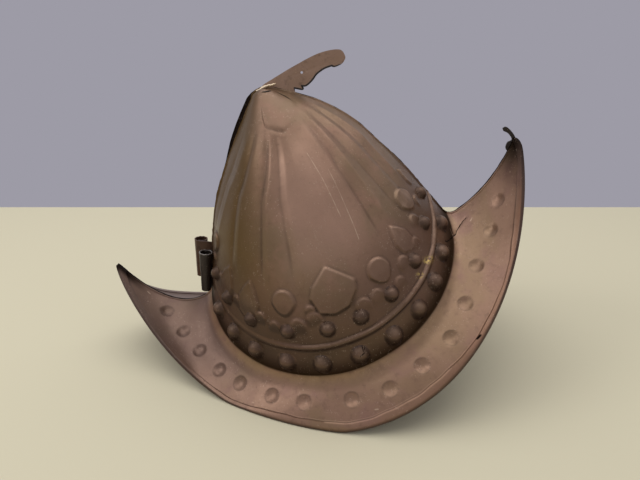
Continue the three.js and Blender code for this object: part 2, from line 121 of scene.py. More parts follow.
def noise(tree, where, scale, detail=4.0, roughness=0.55, distortion=0.0):
    settings = {"Vector": where, "Scale": scale, "Detail": detail, "Roughness": roughness,
                "Distortion": distortion}
    return node(tree, "ShaderNodeTexNoise", settings).outputs["Fac"]


def named(tree, name):
    return node(tree, "ShaderNodeAttribute", attribute_name=name).outputs["Fac"]


def colour(red, green, blue):
    """A colour as seen on a screen, from 0 to 255, as the linear values that Blender wants."""
    shares = [value / 255 for value in (red, green, blue)]
    return [s / 12.92 if s <= 0.04045 else ((s + 0.055) / 1.055) ** 2.4 for s in shares] + [1.0]


def new_group(name, inputs, outputs, kind="ShaderNodeTree"):
    group = bpy.data.node_groups.new(name, kind)
    for direction, sockets in (("INPUT", inputs), ("OUTPUT", outputs)):
        for label, (socket_type, value) in sockets.items():
            socket = group.interface.new_socket(label, in_out=direction, socket_type=socket_type)
            if value is not None:
                socket.default_value = value
    entry = group.nodes.new("NodeGroupInput")
    leave = group.nodes.new("NodeGroupOutput")
    return group, entry.outputs, leave.inputs


def use_group(tree, group, sockets):
    made = tree.nodes.new("ShaderNodeGroup")
    made.node_tree = group
    for name, value in sockets.items():
        if isinstance(value, bpy.types.NodeSocket):
            tree.links.new(value, made.inputs[name])
        else:
            made.inputs[name].default_value = value
    return made.outputs


FLOAT, VECTOR, COLOUR = "NodeSocketFloat", "NodeSocketVector", "NodeSocketColor"
print("helpers ready")

# %% [markdown]
# ## Patina shared by all the metal
#
# The sheet was darkened long ago and has since been rubbed, dusted and stained. Three effects show
# on every piece, so each is a node group: cloudy colour, fine dust, and the small unevenness of
# beaten sheet, which is a height for a Bump node.


# %% Node group: cloudy patina
def make_cloudy_patina():
    grey = (0.5, 0.5, 0.5, 1)
    group, given, out = new_group(
        "cloudy_patina",
        {"Where": (VECTOR, None), "Main": (COLOUR, grey), "Second": (COLOUR, grey),
         "Third": (COLOUR, grey), "Stain": (COLOUR, grey), "Stain Amount": (FLOAT, 0.5)},
        {"Colour": (COLOUR, None), "Cloud": (FLOAT, None)},
    )
    broad = noise(group, given["Where"], 16, 4, 0.55, 0.6)
    middle = noise(group, given["Where"], 47, 5, 0.6, 0.4)
    small = noise(group, given["Where"], 190, 5, 0.65)
    shade = mix_colour(group, span(group, broad, 0.42, 0.62), given["Main"], given["Second"])
    shade = mix_colour(group, span(group, middle, 0.5, 0.72, 0, 0.75), shade, given["Third"])
    stain = math_node(group, "MULTIPLY", span(group, small, 0.5, 0.75), given["Stain Amount"])
    shade = mix_colour(group, stain, shade, given["Stain"])
    group.links.new(shade, out["Colour"])
    group.links.new(middle, out["Cloud"])
    return group


# %% Node group: dust and pits
def make_dust():
    group, given, out = new_group(
        "dust_and_pits",
        {"Where": (VECTOR, None), "Scale": (FLOAT, 900.0), "Amount": (FLOAT, 0.5)},
        {"Dust": (FLOAT, None), "Pits": (FLOAT, None)},
    )
    cells = node(group, "ShaderNodeTexVoronoi", {"Vector": given["Where"], "Scale": given["Scale"]})
    near = span(group, cells.outputs["Distance"], 0.16, 0.36, 1, 0)
    patches = span(group, noise(group, given["Where"], 70, 3), 0.42, 0.62)
    pick = span(group, noise(group, given["Where"], 420, 1), 0.55, 0.63)
    dust = math_node(group, "MULTIPLY", near, math_node(group, "MULTIPLY", pick, patches))
    group.links.new(math_node(group, "MULTIPLY", dust, given["Amount"], clamp=True), out["Dust"])
    pits = span(group, noise(group, given["Where"], 760, 4, 0.7), 0.6, 0.74)
    group.links.new(pits, out["Pits"])
    return group


# %% Node group: beaten sheet
def make_beaten():
    group, given, out = new_group(
        "beaten_sheet", {"Where": (VECTOR, None), "Pits": (FLOAT, 0.0)}, {"Height": (FLOAT, None)}
    )
    wide = noise(group, given["Where"], 90, 3, 0.5)
    grain = noise(group, given["Where"], 620, 5, 0.7)
    height = math_node(group, "MULTIPLY_ADD", grain, 0.28, wide)
    height = math_node(group, "MULTIPLY_ADD", given["Pits"], -0.35, height)
    group.links.new(height, out["Height"])
    return group


# %% Node group: a thin mark along a straight piece of a path
def make_mark():
    group, given, out = new_group(
        "mark_line",
        {"Turn": (FLOAT, 0.0), "Above": (FLOAT, 0.0), "Around": (FLOAT, 200.0), "Shift": (VECTOR, None),
         "From": (VECTOR, None), "To": (VECTOR, None), "Width": (FLOAT, 0.5)},
        {"Mark": (FLOAT, None)},
    )

    def vector_math(operation, *values):
        made = node(group, "ShaderNodeVectorMath", dict(enumerate(values)), operation=operation)
        return made.outputs["Value" if operation in ("DOT_PRODUCT", "LENGTH") else "Vector"]

    across = math_node(group, "MULTIPLY", given["Turn"], given["Around"])
    here = node(group, "ShaderNodeCombineXYZ", {"X": across, "Y": given["Above"]}).outputs["Vector"]
    here = vector_math("ADD", here, given["Shift"])
    away = vector_math("SUBTRACT", here, given["From"])
    path = vector_math("SUBTRACT", given["To"], given["From"])
    share = math_node(group, "DIVIDE", vector_math("DOT_PRODUCT", away, path),
                      vector_math("DOT_PRODUCT", path, path), clamp=True)
    nearest = node(group, "ShaderNodeVectorMath", {0: path, "Scale": share}, operation="SCALE")
    gap = vector_math("LENGTH", vector_math("SUBTRACT", away, nearest.outputs["Vector"]))
    gap = math_node(group, "DIVIDE", gap, given["Width"])
    group.links.new(span(group, gap, 0.3, 1.0, 1, 0), out["Mark"])
    return group


cloudy_patina = make_cloudy_patina()
dust_and_pits = make_dust()
beaten_sheet = make_beaten()
mark_line = make_mark()
print("node groups:", [group.name for group in bpy.data.node_groups])

# %% [markdown]
# ## The shape of the sheet
#
# A point of the sheet is found from a turn and a station. The turn runs from 0 at the rear to pi at
# the front of one half. The station runs from 0 at the crown's top through 1 at its mouth to 2 at
# the brim's edge. These are the same rules and sizes as in the CAD model, in millimetres, written
# for whole arrays of points at once, so that a very fine mesh lands exactly on the CAD shape.

# %% Sizes of the sheet
CROWN_RISE, CROWN_TOP_X, KEEL_FOLD = 93, -2, 0.22
MOUTH_REAR, MOUTH_FRONT, MOUTH_WIDTH = 103, 104, 187
MOUTH_DROP_ENDS, MOUTH_DROP_SIDES, MOUTH_FILLET = 49, 104.5, 8
PEAK_SPAN, BRIM_WIDTH, BRIM_DROP = 340, 236, 129.5
BRIM_SKEW, BRIM_FLARE, BRIM_ARCH = 0.05, 0.21, 4
BRIM_SAG = {"rear": 45, "front": 20}
FAR_DROOP = {"rear": 46, "front": 22}
FOOT_FLATTENING, FOOT_SOFTNESS = 5, 0.6
SHEET, GAP, FLANGE_WALL, FLANGE_RISE = 1.2, 0.3, 1.2, 1.2
SEAM_SIDE = GAP / 2 + FLANGE_WALL
PITCH = math.radians(19)
HELMET_AT = (-1.304, 128.095)
CROWN_DROPS = [0, 0.006, 0.03, 0.08, 0.16, 0.3, 0.45, 0.6, 0.8, 1]
CROWN_REACH = {
    "rear": [0, 0.06, 0.1, 0.17, 0.28, 0.45, 0.62, 0.745, 0.88, 1],
    "side": [0, 0.05, 0.11, 0.21, 0.36, 0.56, 0.73, 0.86, 0.97, 1],
    "front": [0, 0.03, 0.095, 0.2, 0.35, 0.53, 0.65, 0.765, 0.885, 1],
}


# %% From turn and station to a point
def stand(points):
    """From millimetres in the helmet's own frame to metres as it stands."""
    x, y, z = np.moveaxis(np.asarray(points, float), -1, 0)
    across = x * math.cos(PITCH) - z * math.sin(PITCH) + HELMET_AT[0]
    up = x * math.sin(PITCH) + z * math.cos(PITCH) + HELMET_AT[1]
    return np.stack([across, y, up], -1) * MM


def ease(value, low, high):
    share = np.clip((value - low) / (high - low), 0, 1)
    return share * share * (3 - 2 * share)


def crown_reach(share, column):
    drops, values = np.array(CROWN_DROPS), np.array(CROWN_REACH[column])
    last = len(drops) - 1
    k = np.clip(np.searchsorted(drops, share), 1, last)
    slope = lambda a, b: (values[b] - values[a]) / (drops[b] - drops[a])
    width = drops[k] - drops[k - 1]
    s = (share - drops[k - 1]) / width
    start = slope(np.maximum(0, k - 2), k) * width
    end = slope(k - 1, np.minimum(last, k + 1)) * width
    level = values[k - 1] * (1 + 2 * s) * (1 - s) ** 2 + values[k] * s * s * (3 - 2 * s)
    return level + start * s * (1 - s) ** 2 + end * s * s * (s - 1)


def along_across(turn):
    return -np.cos(turn), np.maximum(0, np.sin(turn))


def mouth(turn):
    along, across = along_across(turn)
    return np.stack([
        along * np.where(along < 0, MOUTH_REAR, MOUTH_FRONT),
        SEAM_SIDE + (MOUTH_WIDTH / 2 - SEAM_SIDE) * across ** 0.91,
        -MOUTH_DROP_ENDS - (MOUTH_DROP_SIDES - MOUTH_DROP_ENDS) * across ** 1.14,
    ], -1)


def raw_rim(turn):
    along, across = along_across(turn)
    return np.stack([
        along * PEAK_SPAN / 2,
        SEAM_SIDE + (BRIM_WIDTH / 2 - SEAM_SIDE) * across ** 1.5 * (1 + BRIM_SKEW * along),
        -BRIM_DROP * across ** 1.6 * (1 + BRIM_FLARE * along * along),
    ], -1)


def standing_height(points):
    return points[..., 0] * math.sin(PITCH) + points[..., 2] * math.cos(PITCH)


foot_level = standing_height(raw_rim(np.linspace(0, math.pi, 91))).min() + FOOT_FLATTENING


def rim(turn):
    points = raw_rim(turn)
    above = (standing_height(points) - foot_level) / FOOT_SOFTNESS
    lift = FOOT_SOFTNESS * (np.logaddexp(0, above) - above)
    lift = np.where(above > 20, 0, lift)
    points[..., 0] += lift * math.sin(PITCH)
    points[..., 2] += lift * math.cos(PITCH)
    return points


def crown(turn, drop):
    along, across = along_across(turn)
    end = np.where(along < 0, crown_reach(drop, "rear"), crown_reach(drop, "front"))
    side = crown_reach(drop, "side")
    fold = 1 - KEEL_FOLD * across * (1 - across) * (1 - drop)
    reach = (end + (side - end) * across ** 2) * fold
    edge = mouth(turn)
    sharpness = 1.1 + (0.91 - 1.1) * drop
    return np.stack([
        CROWN_TOP_X + (edge[..., 0] - CROWN_TOP_X) * reach,
        SEAM_SIDE + (MOUTH_WIDTH / 2 - SEAM_SIDE) * across ** sharpness * reach,
        CROWN_RISE + (edge[..., 2] - CROWN_RISE) * drop,
    ], -1)


def between(a, b, share):
    return a + (b - a) * np.asarray(share)[..., None]


def brim(turn, share):
    inner, outer = mouth(turn), rim(turn)
    along, _ = along_across(turn)
    sag = np.where(along < 0, BRIM_SAG["rear"], BRIM_SAG["front"])
    control = inner + (outer - inner) * 0.6
    control[..., 2] -= (sag + BRIM_ARCH) * np.abs(along) ** 3 - BRIM_ARCH
    return between(between(inner, control, share), between(control, outer, share), share)


def crown_length(turn):
    return CROWN_RISE - mouth(turn)[..., 2]


def brim_length(turn):
    return np.linalg.norm(rim(turn) - mouth(turn), axis=-1)


def sheet_point(turn, station):
    turn, station = np.broadcast_arrays(np.asarray(turn, float), np.asarray(station, float))
    up, down = MOUTH_FILLET / crown_length(turn), MOUTH_FILLET / brim_length(turn)
    on_crown = crown(turn, np.clip(station, 0, 1 - up))
    on_brim = brim(turn, np.clip(station - 1, down, 1))
    share = (station - 1 + up) / (up + down)
    corner = mouth(turn)
    bend = between(between(on_crown, corner, share), between(corner, on_brim, share), share)
    bent = (station > 1 - up) & (station < 1 + down)
    flat = np.where((station <= 1)[..., None], on_crown, on_brim)
    return np.where(bent[..., None], bend, flat)


def half_point(side, turn, station):
    points = sheet_point(turn, station)
    if side > 0:
        endward = np.cos(turn)
        droop = np.where(endward > 0, FAR_DROOP["rear"], FAR_DROOP["front"])
        bent = droop * np.maximum(0, np.sin(turn)) ** 0.7 * endward ** 8
        points[..., 2] -= bent * np.maximum(0, station - 1) ** 2
    points[..., 1] *= side
    return points


def half_normal(side, turn, station):
    """The outward normal. Along the seam it lies in the seam's plane."""
    step = 0.004
    t, s = np.clip(turn, step, math.pi - step), np.clip(station, step, 2 - step)
    round_ = sheet_point(t + step, s) - sheet_point(t - step, s)
    down = sheet_point(t, s + step) - sheet_point(t, s - step)
    normal = np.cross(round_, down)
    normal[..., 1] *= side
    on_seam = (turn < step) | (turn > math.pi - step)
    normal[..., 1] = np.where(on_seam, 0, normal[..., 1])
    return normal / np.linalg.norm(normal, axis=-1, keepdims=True)


def around_at(turn, station):
    """Millimetres of sheet for one radian of turn."""
    step = 0.004
    ahead = sheet_point(np.clip(turn + step, 0, math.pi), station)
    behind = sheet_point(np.clip(turn - step, 0, math.pi), station)
    return np.linalg.norm(ahead - behind, axis=-1) / (2 * step)


def height_above(turn, station):
    """Distance up the crown from its mouth, negative on the brim."""
    return (1 - station) * np.where(np.asarray(station) < 1, crown_length(turn), brim_length(turn))


lowest = stand(half_point(-1, np.linspace(0, math.pi, 200), 2.0))[:, 2].min()
print("lowest point of the near rim, mm:", round(lowest / MM, 2))


# %% [markdown]
# ## The sheet iron
#
# The two halves share one brown patina. It reads numbers that the mesh keeps at its points:
# `relief` is how far the ornament stands out, `hollow` how deep a point sits below its neighbours,
# `above_mouth` the distance up the crown from its bend, negative on the brim, `rim_gap` the distance
# from the brim's edge, and `turn` the way round from rear to front.
#
# Thin marks are drawn in the material, because they are finer than the mesh: splits are dark and
# open, and lights are scratches and chips that show bare metal, with painted highlights along two
# crease ridges. Each is a width in millimetres and a path of turns and stations.


# %% Thin marks
SPLITS = [
    (0.6, [(0.884, 0.914), (0.8913, 0.933), (0.9113, 0.9643), (0.9288, 1.008), (0.9456, 1.0467),
           (0.9544, 1.073), (0.9625, 1.1079), (0.9663, 1.1592)]),
    (0.5, [(0.541, 0.891), (0.54, 0.909), (0.532, 0.912)]),
    (0.5, [(0.547, 0.896), (0.541, 0.904)]),
]
HOLES = [
    (2.0, [(0.85, 0.0555), (0.852, 0.0575)]),
    (1.6, [(0.684, 1.872), (0.688, 1.888)]),
]
LIGHTS = [
    # The first two run along crease ridges and are partly painted highlights.
    (0.4, [(0.62, 0.248), (0.622, 0.332), (0.616, 0.471)]),
    (0.4, [(0.659, 0.326), (0.644, 0.451), (0.631, 0.566)]),
    (0.8, [(0.93, 0.992), (0.944, 0.9755)]),
    (0.9, [(0.9495, 1.198), (0.953, 1.218)]),
    (0.8, [(0.908, 1.0105), (0.912, 1.014)]),
    (0.7, [(0.947, 1.779), (0.9465, 1.7785)]),
    (0.7, [(0.9306, 1.7964), (0.930, 1.796)]),
    (0.7, [(0.902, 1.759), (0.9018, 1.7588)]),
    (0.7, [(0.8963, 1.6814), (0.896, 1.681)]),
    (0.8, [(0.021, 1.74), (0.024, 1.72)]),
    (0.6, [(0.519, 1.69), (0.523, 1.70)]),
    (0.6, [(0.332, 1.713), (0.335, 1.716)]),
]


def path_marks(tree, paths, shift):
    """One inside the paths and nothing beside them, on the near half."""
    turn, above = named(tree, "turn"), named(tree, "above_mouth")
    total = 0.0
    for width, path in paths:
        middle = np.array(path).mean(axis=0)
        around = math.pi * around_at(middle[0] * math.pi, middle[1])
        flat = [(t * around, height_above(t * math.pi, s), 0) for t, s in path]
        for start, end in zip(flat, flat[1:]):
            mark = use_group(tree, mark_line, {
                "Turn": turn, "Above": above, "Around": around, "Shift": shift, "From": start,
                "To": end, "Width": width})["Mark"]
            total = math_node(tree, "MAXIMUM", total, mark)
    return math_node(tree, "MULTIPLY", total, named(tree, "near_half"))


# %% Material: patinated sheet
def finish_metal(name, metal, roughness, tree_maker):
    material = bpy.data.materials.new(name)
    material.use_nodes = True
    tree = material.node_tree
    shader = tree.nodes["Principled BSDF"]
    shader.inputs["Metallic"].default_value = metal
    shader.inputs["Roughness"].default_value = roughness
    tree_maker(tree, shader)
    return material


def sheet_tree(tree, shader):
    where = node(tree, "ShaderNodeTexCoord").outputs["Object"]
    relief, hollow = named(tree, "relief"), named(tree, "hollow")
    above, rim_gap, turn = named(tree, "above_mouth"), named(tree, "rim_gap"), named(tree, "turn")
    inside, split, peak = named(tree, "inside"), named(tree, "split"), named(tree, "peak")
    streaks = noise(tree, where, 130, 4)

    crown = use_group(tree, cloudy_patina, {
        "Where": where, "Main": colour(130, 101, 82), "Second": colour(121, 98, 75),
        "Third": colour(138, 105, 87), "Stain": colour(98, 74, 56), "Stain Amount": 0.45})
    brim = use_group(tree, cloudy_patina, {
        "Where": where, "Main": colour(133, 103, 84), "Second": colour(128, 102, 78),
        "Third": colour(128, 96, 84), "Stain": colour(98, 72, 58), "Stain Amount": 0.45})
    shade = mix_colour(tree, span(tree, above, -3, 1), brim["Colour"], crown["Colour"])

    # Painted highlight: a broad lighter patch on the middle of the crown, where the light falls.
    painted_highlight = math_node(tree, "MULTIPLY", span(tree, above, 62, 95), span(tree, above, 165, 130))
    painted_highlight = math_node(tree, "MULTIPLY", painted_highlight, span(tree, turn, 0.4, 0.5))
    painted_highlight = math_node(tree, "MULTIPLY", painted_highlight, span(tree, turn, 0.72, 0.6, 0, 0.6))
    shade = mix_colour(tree, painted_highlight, shade, colour(158, 126, 108))
    olive = math_node(tree, "MULTIPLY", span(tree, turn, 0.25, 0.46, 0.95, 0), span(tree, above, 8, 45))
    shade = mix_colour(tree, olive, shade, colour(86, 62, 20))
    # Painted shade: the crown darkens towards its bottom, most in the band above the bend, where shade and the brim's
    # dark reflection fall.
    painted_band_shade = math_node(tree, "MULTIPLY", span(tree, above, -1.2, 1.5), span(tree, above, 6, 72, 1, 0))
    shade = mix_colour(tree, math_node(tree, "MULTIPLY", painted_band_shade, 0.7), shade, colour(70, 47, 29))
    top = span(tree, above, 150, 166, 0, 0.4)
    shade = mix_colour(tree, top, shade, colour(102, 78, 60))
    # Painted shade, carried higher up the lower crown.
    painted_lower_shade = span(tree, above, 45, 88, 0.6, 0)
    painted_lower_shade = math_node(tree, "MULTIPLY", painted_lower_shade, span(tree, above, 20, 34))
    shade = mix_colour(tree, painted_lower_shade, shade, colour(84, 60, 45))
    # Painted shade: nearly black in the concave corner where the crown bends into the brim.
    corner = math_node(tree, "MULTIPLY", span(tree, above, -1.2, 1.5), span(tree, above, 4, 20, 0.85, 0))
    shade = mix_colour(tree, corner, shade, colour(40, 26, 10))
    bend = math_node(tree, "MULTIPLY", span(tree, above, -7, -2.2), span(tree, above, -1.6, 0.6, 1, 0))
    bend = math_node(tree, "MULTIPLY", bend, span(tree, streaks, 0.36, 0.6, 0.15, 0.6))
    shade = mix_colour(tree, bend, shade, colour(150, 122, 92))
    # Darker on the rear part of the brim.
    darker_rear_brim = math_node(tree, "MULTIPLY", span(tree, turn, 0.16, 0.38, 0.65, 0), span(tree, above, -4, -8))
    shade = mix_colour(tree, darker_rear_brim, shade, colour(84, 65, 58))

    # Painted shade: faces that turn downwards, such as the lower sides of the domes, are darker.
    under = math_node(tree, "MULTIPLY", span(tree, named(tree, "upward"), -0.12, 0.22, 0.75, 0), span(tree, above, 3, 8))
    shade = mix_colour(tree, under, shade, colour(48, 32, 22))
    # High relief is lighter: wear, and on the sides that face up a painted highlight.
    wear_and_highlight = math_node(tree, "MULTIPLY", span(tree, relief, 0.5, 2.0, 0, 0.4), span(tree, streaks, 0.35, 0.6, 0.3, 1))
    wear_and_highlight = math_node(tree, "MULTIPLY", wear_and_highlight, span(tree, named(tree, "upward"), 0.3, 0.65, 0.3, 1.6))
    shade = mix_colour(tree, wear_and_highlight, shade, colour(158, 130, 110))
    # Painted shade: points that sit low, the creases' grooves, the rings round the domes and the hem's raw edge are
    # darker.
    low = span(tree, hollow, 0.1, 0.8, 0, 0.75)
    shade = mix_colour(tree, low, shade, colour(52, 35, 25))
    hem = math_node(tree, "MULTIPLY", span(tree, rim_gap, 4, 9, 1, 0), span(tree, turn, 0.45, 0.7, 0.0, 0.55))
    hem_colour = mix_colour(tree, span(tree, turn, 0.84, 0.93), colour(130, 94, 72), colour(78, 58, 54))
    shade = mix_colour(tree, hem, shade, hem_colour)
    # Painted shade: the brim's rolled edge darkens where it turns down.
    edge = span(tree, rim_gap, 0.5, 3.0, 0.85, 0)
    shade = mix_colour(tree, edge, shade, colour(56, 38, 30))
    shade = mix_colour(tree, math_node(tree, "MULTIPLY", peak, 0.95), shade, colour(30, 23, 19))
    wobble = node(tree, "ShaderNodeTexNoise", {"Vector": where, "Scale": 260.0, "Detail": 1.0})
    shift = node(tree, "ShaderNodeVectorMath", {0: wobble.outputs["Color"], 1: (0.5, 0.5, 0.5)},
                 operation="SUBTRACT").outputs["Vector"]
    shift = node(tree, "ShaderNodeVectorMath", {0: shift, "Scale": 2.0}, operation="SCALE").outputs["Vector"]
    split = math_node(tree, "MAXIMUM", split, path_marks(tree, SPLITS, shift))
    split = math_node(tree, "MAXIMUM", split, path_marks(tree, HOLES, (0, 0, 0)))
    # Painted sheen: the far half's rear brim, seen beyond the seam, is a lighter grey-mauve where it faces up.
    painted_far_sheen = math_node(tree, "MULTIPLY", span(tree, above, -4, -12), span(tree, turn, 0.3, 0.2))
    painted_far_sheen = math_node(tree, "MULTIPLY", painted_far_sheen, span(tree, named(tree, "near_half"), 0.2, 0.8, 0.7, 0))
    shade = mix_colour(tree, painted_far_sheen, shade, colour(142, 126, 120))
    far_edge = math_node(tree, "MULTIPLY", painted_far_sheen, span(tree, rim_gap, 0.6, 2.2, 1.4, 0))
    shade = mix_colour(tree, far_edge, shade, colour(20, 15, 13))
    # Splits and holes are dark and open; the far flange's dark is painted shade of the seam.
    shade = mix_colour(tree, split, shade, colour(16, 11, 9))
    # Light marks: scratches and chips of bare metal, and along two crease ridges partly a painted highlight.
    worn_off = span(tree, noise(tree, where, 260, 2), 0.4, 0.56, 0.25, 0.6)
    chips_and_glints = math_node(tree, "MULTIPLY", path_marks(tree, LIGHTS, (0, 0, 0)), worn_off)
    shade = mix_colour(tree, chips_and_glints, shade, colour(186, 162, 140))
    run = math_node(tree, "MULTIPLY", named(tree, "brass"), span(tree, noise(tree, where, 520, 3), 0.44, 0.54))
    shade = mix_colour(tree, run, shade, colour(172, 146, 84))
    shade = mix_colour(tree, math_node(tree, "MULTIPLY", inside, 0.55), shade, colour(70, 56, 50))

    specks = use_group(tree, dust_and_pits, {"Where": where, "Scale": 1150.0, "Amount": 0.5})
    shade = mix_colour(tree, specks["Dust"], shade, colour(196, 174, 154))
    shade = mix_colour(tree, math_node(tree, "MULTIPLY", specks["Pits"], 0.3), shade, colour(60, 44, 38))
    tree.links.new(shade, shader.inputs["Base Color"])

    rough = math_node(tree, "MULTIPLY_ADD", crown["Cloud"], 0.35, 0.22)
    rough = math_node(tree, "MULTIPLY_ADD", low, 0.2, rough)
    rough = math_node(tree, "MULTIPLY_ADD", specks["Dust"], 0.25, rough)
    black = math_node(tree, "MAXIMUM", math_node(tree, "MAXIMUM", split, peak), corner)
    rough = math_node(tree, "MULTIPLY_ADD", black, 0.3, rough, clamp=True)
    tree.links.new(math_node(tree, "MULTIPLY_ADD", black, 0.5, 0.5), shader.inputs["Metallic"])
    tree.links.new(rough, shader.inputs["Roughness"])
    height = use_group(tree, beaten_sheet, {"Where": where, "Pits": specks["Pits"]})["Height"]
    bump = node(tree, "ShaderNodeBump", {"Height": height, "Strength": 0.35, "Distance": 0.0006})
    tree.links.new(bump.outputs["Normal"], shader.inputs["Normal"])


patina = finish_metal("patinated_sheet", 0.5, 0.5, sheet_tree)
print("material:", patina.name, len(patina.node_tree.nodes), "nodes")


# %% [markdown]
# ## The ornament as relief
#
# The ornament is pressed from inside, so it is a height added along the sheet's normal. Creases
# radiate from a plain cap at the top. Below them stands a row of roundels and pointed leaves, with a
# garland of small lobes under it, and a round moulding closes the crown's ornament at the bottom. A
# distance to each outline, in millimetres, gives clean edges at any mesh density.

# %% The creases and the cap
# Each crease: its turn, as a share of the half, near the cap, half way and at its foot, its height
# and its width in millimetres. A negative height is a groove.
CREASES = [
    (0.200, 0.090, 0.050, -0.6, 2.2),
    (0.300, 0.158, 0.100, 0.5, 2.2),
    (0.355, 0.245, 0.222, -1.1, 2.0),
    (0.395, 0.278, 0.252, 0.4, 2.2),
    (0.458, 0.380, 0.348, -1.5, 1.9),
    (0.480, 0.403, 0.374, 0.9, 2.3),
    (0.516, 0.456, 0.440, -1.2, 2.8),
    (0.545, 0.482, 0.468, 0.4, 1.8),
    (0.575, 0.533, 0.520, 0.4, 2.2),
    (0.620, 0.600, 0.600, -0.4, 2.5),
    (0.687, 0.682, 0.668, 0.7, 2.2),
    (0.744, 0.698, 0.690, -1.4, 2.2),
    (0.766, 0.746, 0.740, 1.0, 2.2),
    (0.813, 0.790, 0.800, -1.2, 2.4),
    (0.860, 0.845, 0.850, 0.7, 2.2),
    (0.890, 0.875, 0.868, -0.8, 2.2),
    (0.925, 0.922, 0.910, 1.0, 2.2),
]
CREASE_STATIONS = [0.14, 0.35, 0.6]
CREASE_DEPTH, CREASE_SOFTNESS, CREASE_WIDENING = 1.45, 1.1, 1.5
CAP_TURNS = [0, 0.40, 0.435, 0.452, 0.5, 0.565, 0.64, 0.70, 0.8, 0.85, 1]
CAP_EDGE = [0.035, 0.04, 0.07, 0.113, 0.127, 0.15, 0.142, 0.131, 0.102, 0.085, 0.07]


def creases(turn, station, around):
    height = np.zeros_like(turn)
    for top, half_way, foot, rise, width in CREASES:
        at = np.interp(station, CREASE_STATIONS, [top, half_way, foot]) * math.pi
        away = np.sqrt(((turn - at) * around) ** 2 + CREASE_SOFTNESS)
        height += CREASE_DEPTH * rise * np.exp(-away / (width * CREASE_WIDENING)) * np.clip(around / 45, 0.25, 1)
    return height * ease(station, 0.1, 0.2) * (1 - ease(station, 0.52, 0.68))


def cap(turn, station):
    edge = np.interp(turn / math.pi, CAP_TURNS, CAP_EDGE)
    below = (station - edge) * crown_length(turn)
    groove = 0.6 - 0.55 * ease(turn / math.pi, 0.53, 0.64)
    raised = 0.35 / (1 + np.exp(below / 0.9)) - groove * np.exp(-(((below - 1.3) / 1.4) ** 2))
    return raised * ease(turn / math.pi, 0.425, 0.45) * ease(station, 0.05, 0.08)


# %% Roundels, leaves and petals
# Each figure: its shape, its turn as a share of the half, its height above the mouth and its size.
FIGURES = [
    ("roundel", 0.080, 58, 8.6),
    ("leaf", 0.187, 51, 13.5),
    ("leaf", 0.290, 55, 14.5),
    ("roundel", 0.400, 61.5, 9.2),
    ("great_leaf", 0.527, 64.5, 17.2),
    ("roundel", 0.643, 58.5, 9.2),
    ("leaf", 0.742, 59, 11.5),
    ("roundel", 0.846, 61, 9.4),
    ("leaf", 0.945, 56, 9),
]
OUTLINES = {
    "leaf": [(0, 1.1), (0.42, 0.6), (0.74, 0), (0.7, -0.8), (0, -1.2), (-0.7, -0.8), (-0.74, 0), (-0.42, 0.6)],
    "great_leaf": [(0, 1.06), (0.94, 0.15), (0.84, -0.27), (0.33, -0.83), (-0.3, -0.95), (-0.91, -0.7),
                   (-1.06, 0.03), (-0.8, 0.43)],
}
# Each profile: its rise, a lip along its edge, and the share of both that is lost at its foot.
PROFILES = {
    "roundel": (1.4, 0.2, 0.4),
    "leaf": (1.1, 0.3, 0.5),
    "great_leaf": (1.45, 0.15, 0.0),
    "petal": (1.15, 0.2, 1.0),
}
SLOPE = (-1.8, 0.3)
# Each petal: its turn as a share of the half, its height above the mouth and its radius.
PETALS = [
    (0.07, 45, 4.6), (0.145, 45, 4.8), (0.235, 46, 5), (0.323, 46, 5.4), (0.360, 43, 5),
    (0.421, 45.3, 6.5), (0.464, 49.6, 6), (0.460, 56.0, 4.3), (0.576, 46.4, 6.3), (0.6125, 46.4, 5.8),
    (0.678, 41, 5.4), (0.711, 47.4, 6), (0.778, 45, 4.8), (0.8225, 50, 5.5), (0.9, 46, 5),
]


def figure_distance(shape, right, up, size):
    """Distance from a figure's outline, negative inside it."""
    if shape == "roundel":
        pinch = 1 + 0.3 * np.clip(-up / size, 0, 1)
        return np.hypot(right * pinch, up * 0.94) - size
    if shape == "petal":
        return np.where(up > 0, np.hypot(right, up), np.abs(right)) - size
    corners = np.array(OUTLINES[shape]) * size
    away = np.full_like(right, -1e9)
    for (x0, y0), (x1, y1) in zip(corners, np.roll(corners, -1, axis=0)):
        length = math.hypot(x1 - x0, y1 - y0)
        away = np.maximum(away, ((up - y0) * (x1 - x0) - (right - x0) * (y1 - y0)) / length)
    return away


def local_frame(side, turn, height):
    """A point of the sheet with its directions to the front and up."""
    station = 1 - height / crown_length(np.array(turn))
    step = 0.01
    at = half_point(side, np.array(turn), station)
    front = half_point(side, np.array(turn + step), station) - at
    up = half_point(side, np.array(turn), station - step) - at
    front /= np.linalg.norm(front)
    up -= front * (up @ front)
    return at, front, up / np.linalg.norm(up)


def pressed(side, points, shape, turn, height, size):
    """The height of one figure over the whole sheet."""
    rise, lip, lost = PROFILES[shape]
    at, front, up = local_frame(side, turn, height)
    right, high = (points - at) @ front, (points - at) @ up
    away = figure_distance(shape, right, high, size)
    step = rise * (1 - ease(away, *SLOPE))
    line = lip * np.exp(-(((away + 1.6) / 0.9) ** 2))
    foot = (-0.5, 1.1) if shape == "petal" else (0.0, 1.1)
    kept = 1 - lost * ease(-high / size, *foot)
    near = np.linalg.norm(points - at, axis=-1) < 3 * size
    return np.where(near, (step + line) * kept, 0)


# %% Rows along the sheet
UPPER_TURNS = [0.1, 0.19, 0.288, 0.391, 0.484, 0.561, 0.645, 0.744, 0.852, 0.95]
LOWER_TURNS = [0.125, 0.203, 0.279, 0.364, 0.446, 0.531, 0.614, 0.693, 0.767, 0.842, 0.923]
UPPER_ROW = {"ends": 38, "side": 41}
LOWER_ROW = {"ends": 18.5, "side": 15.5}
MOULDING = {"ends": 25, "side": 29, "width": 2.3, "rise": 1.5}
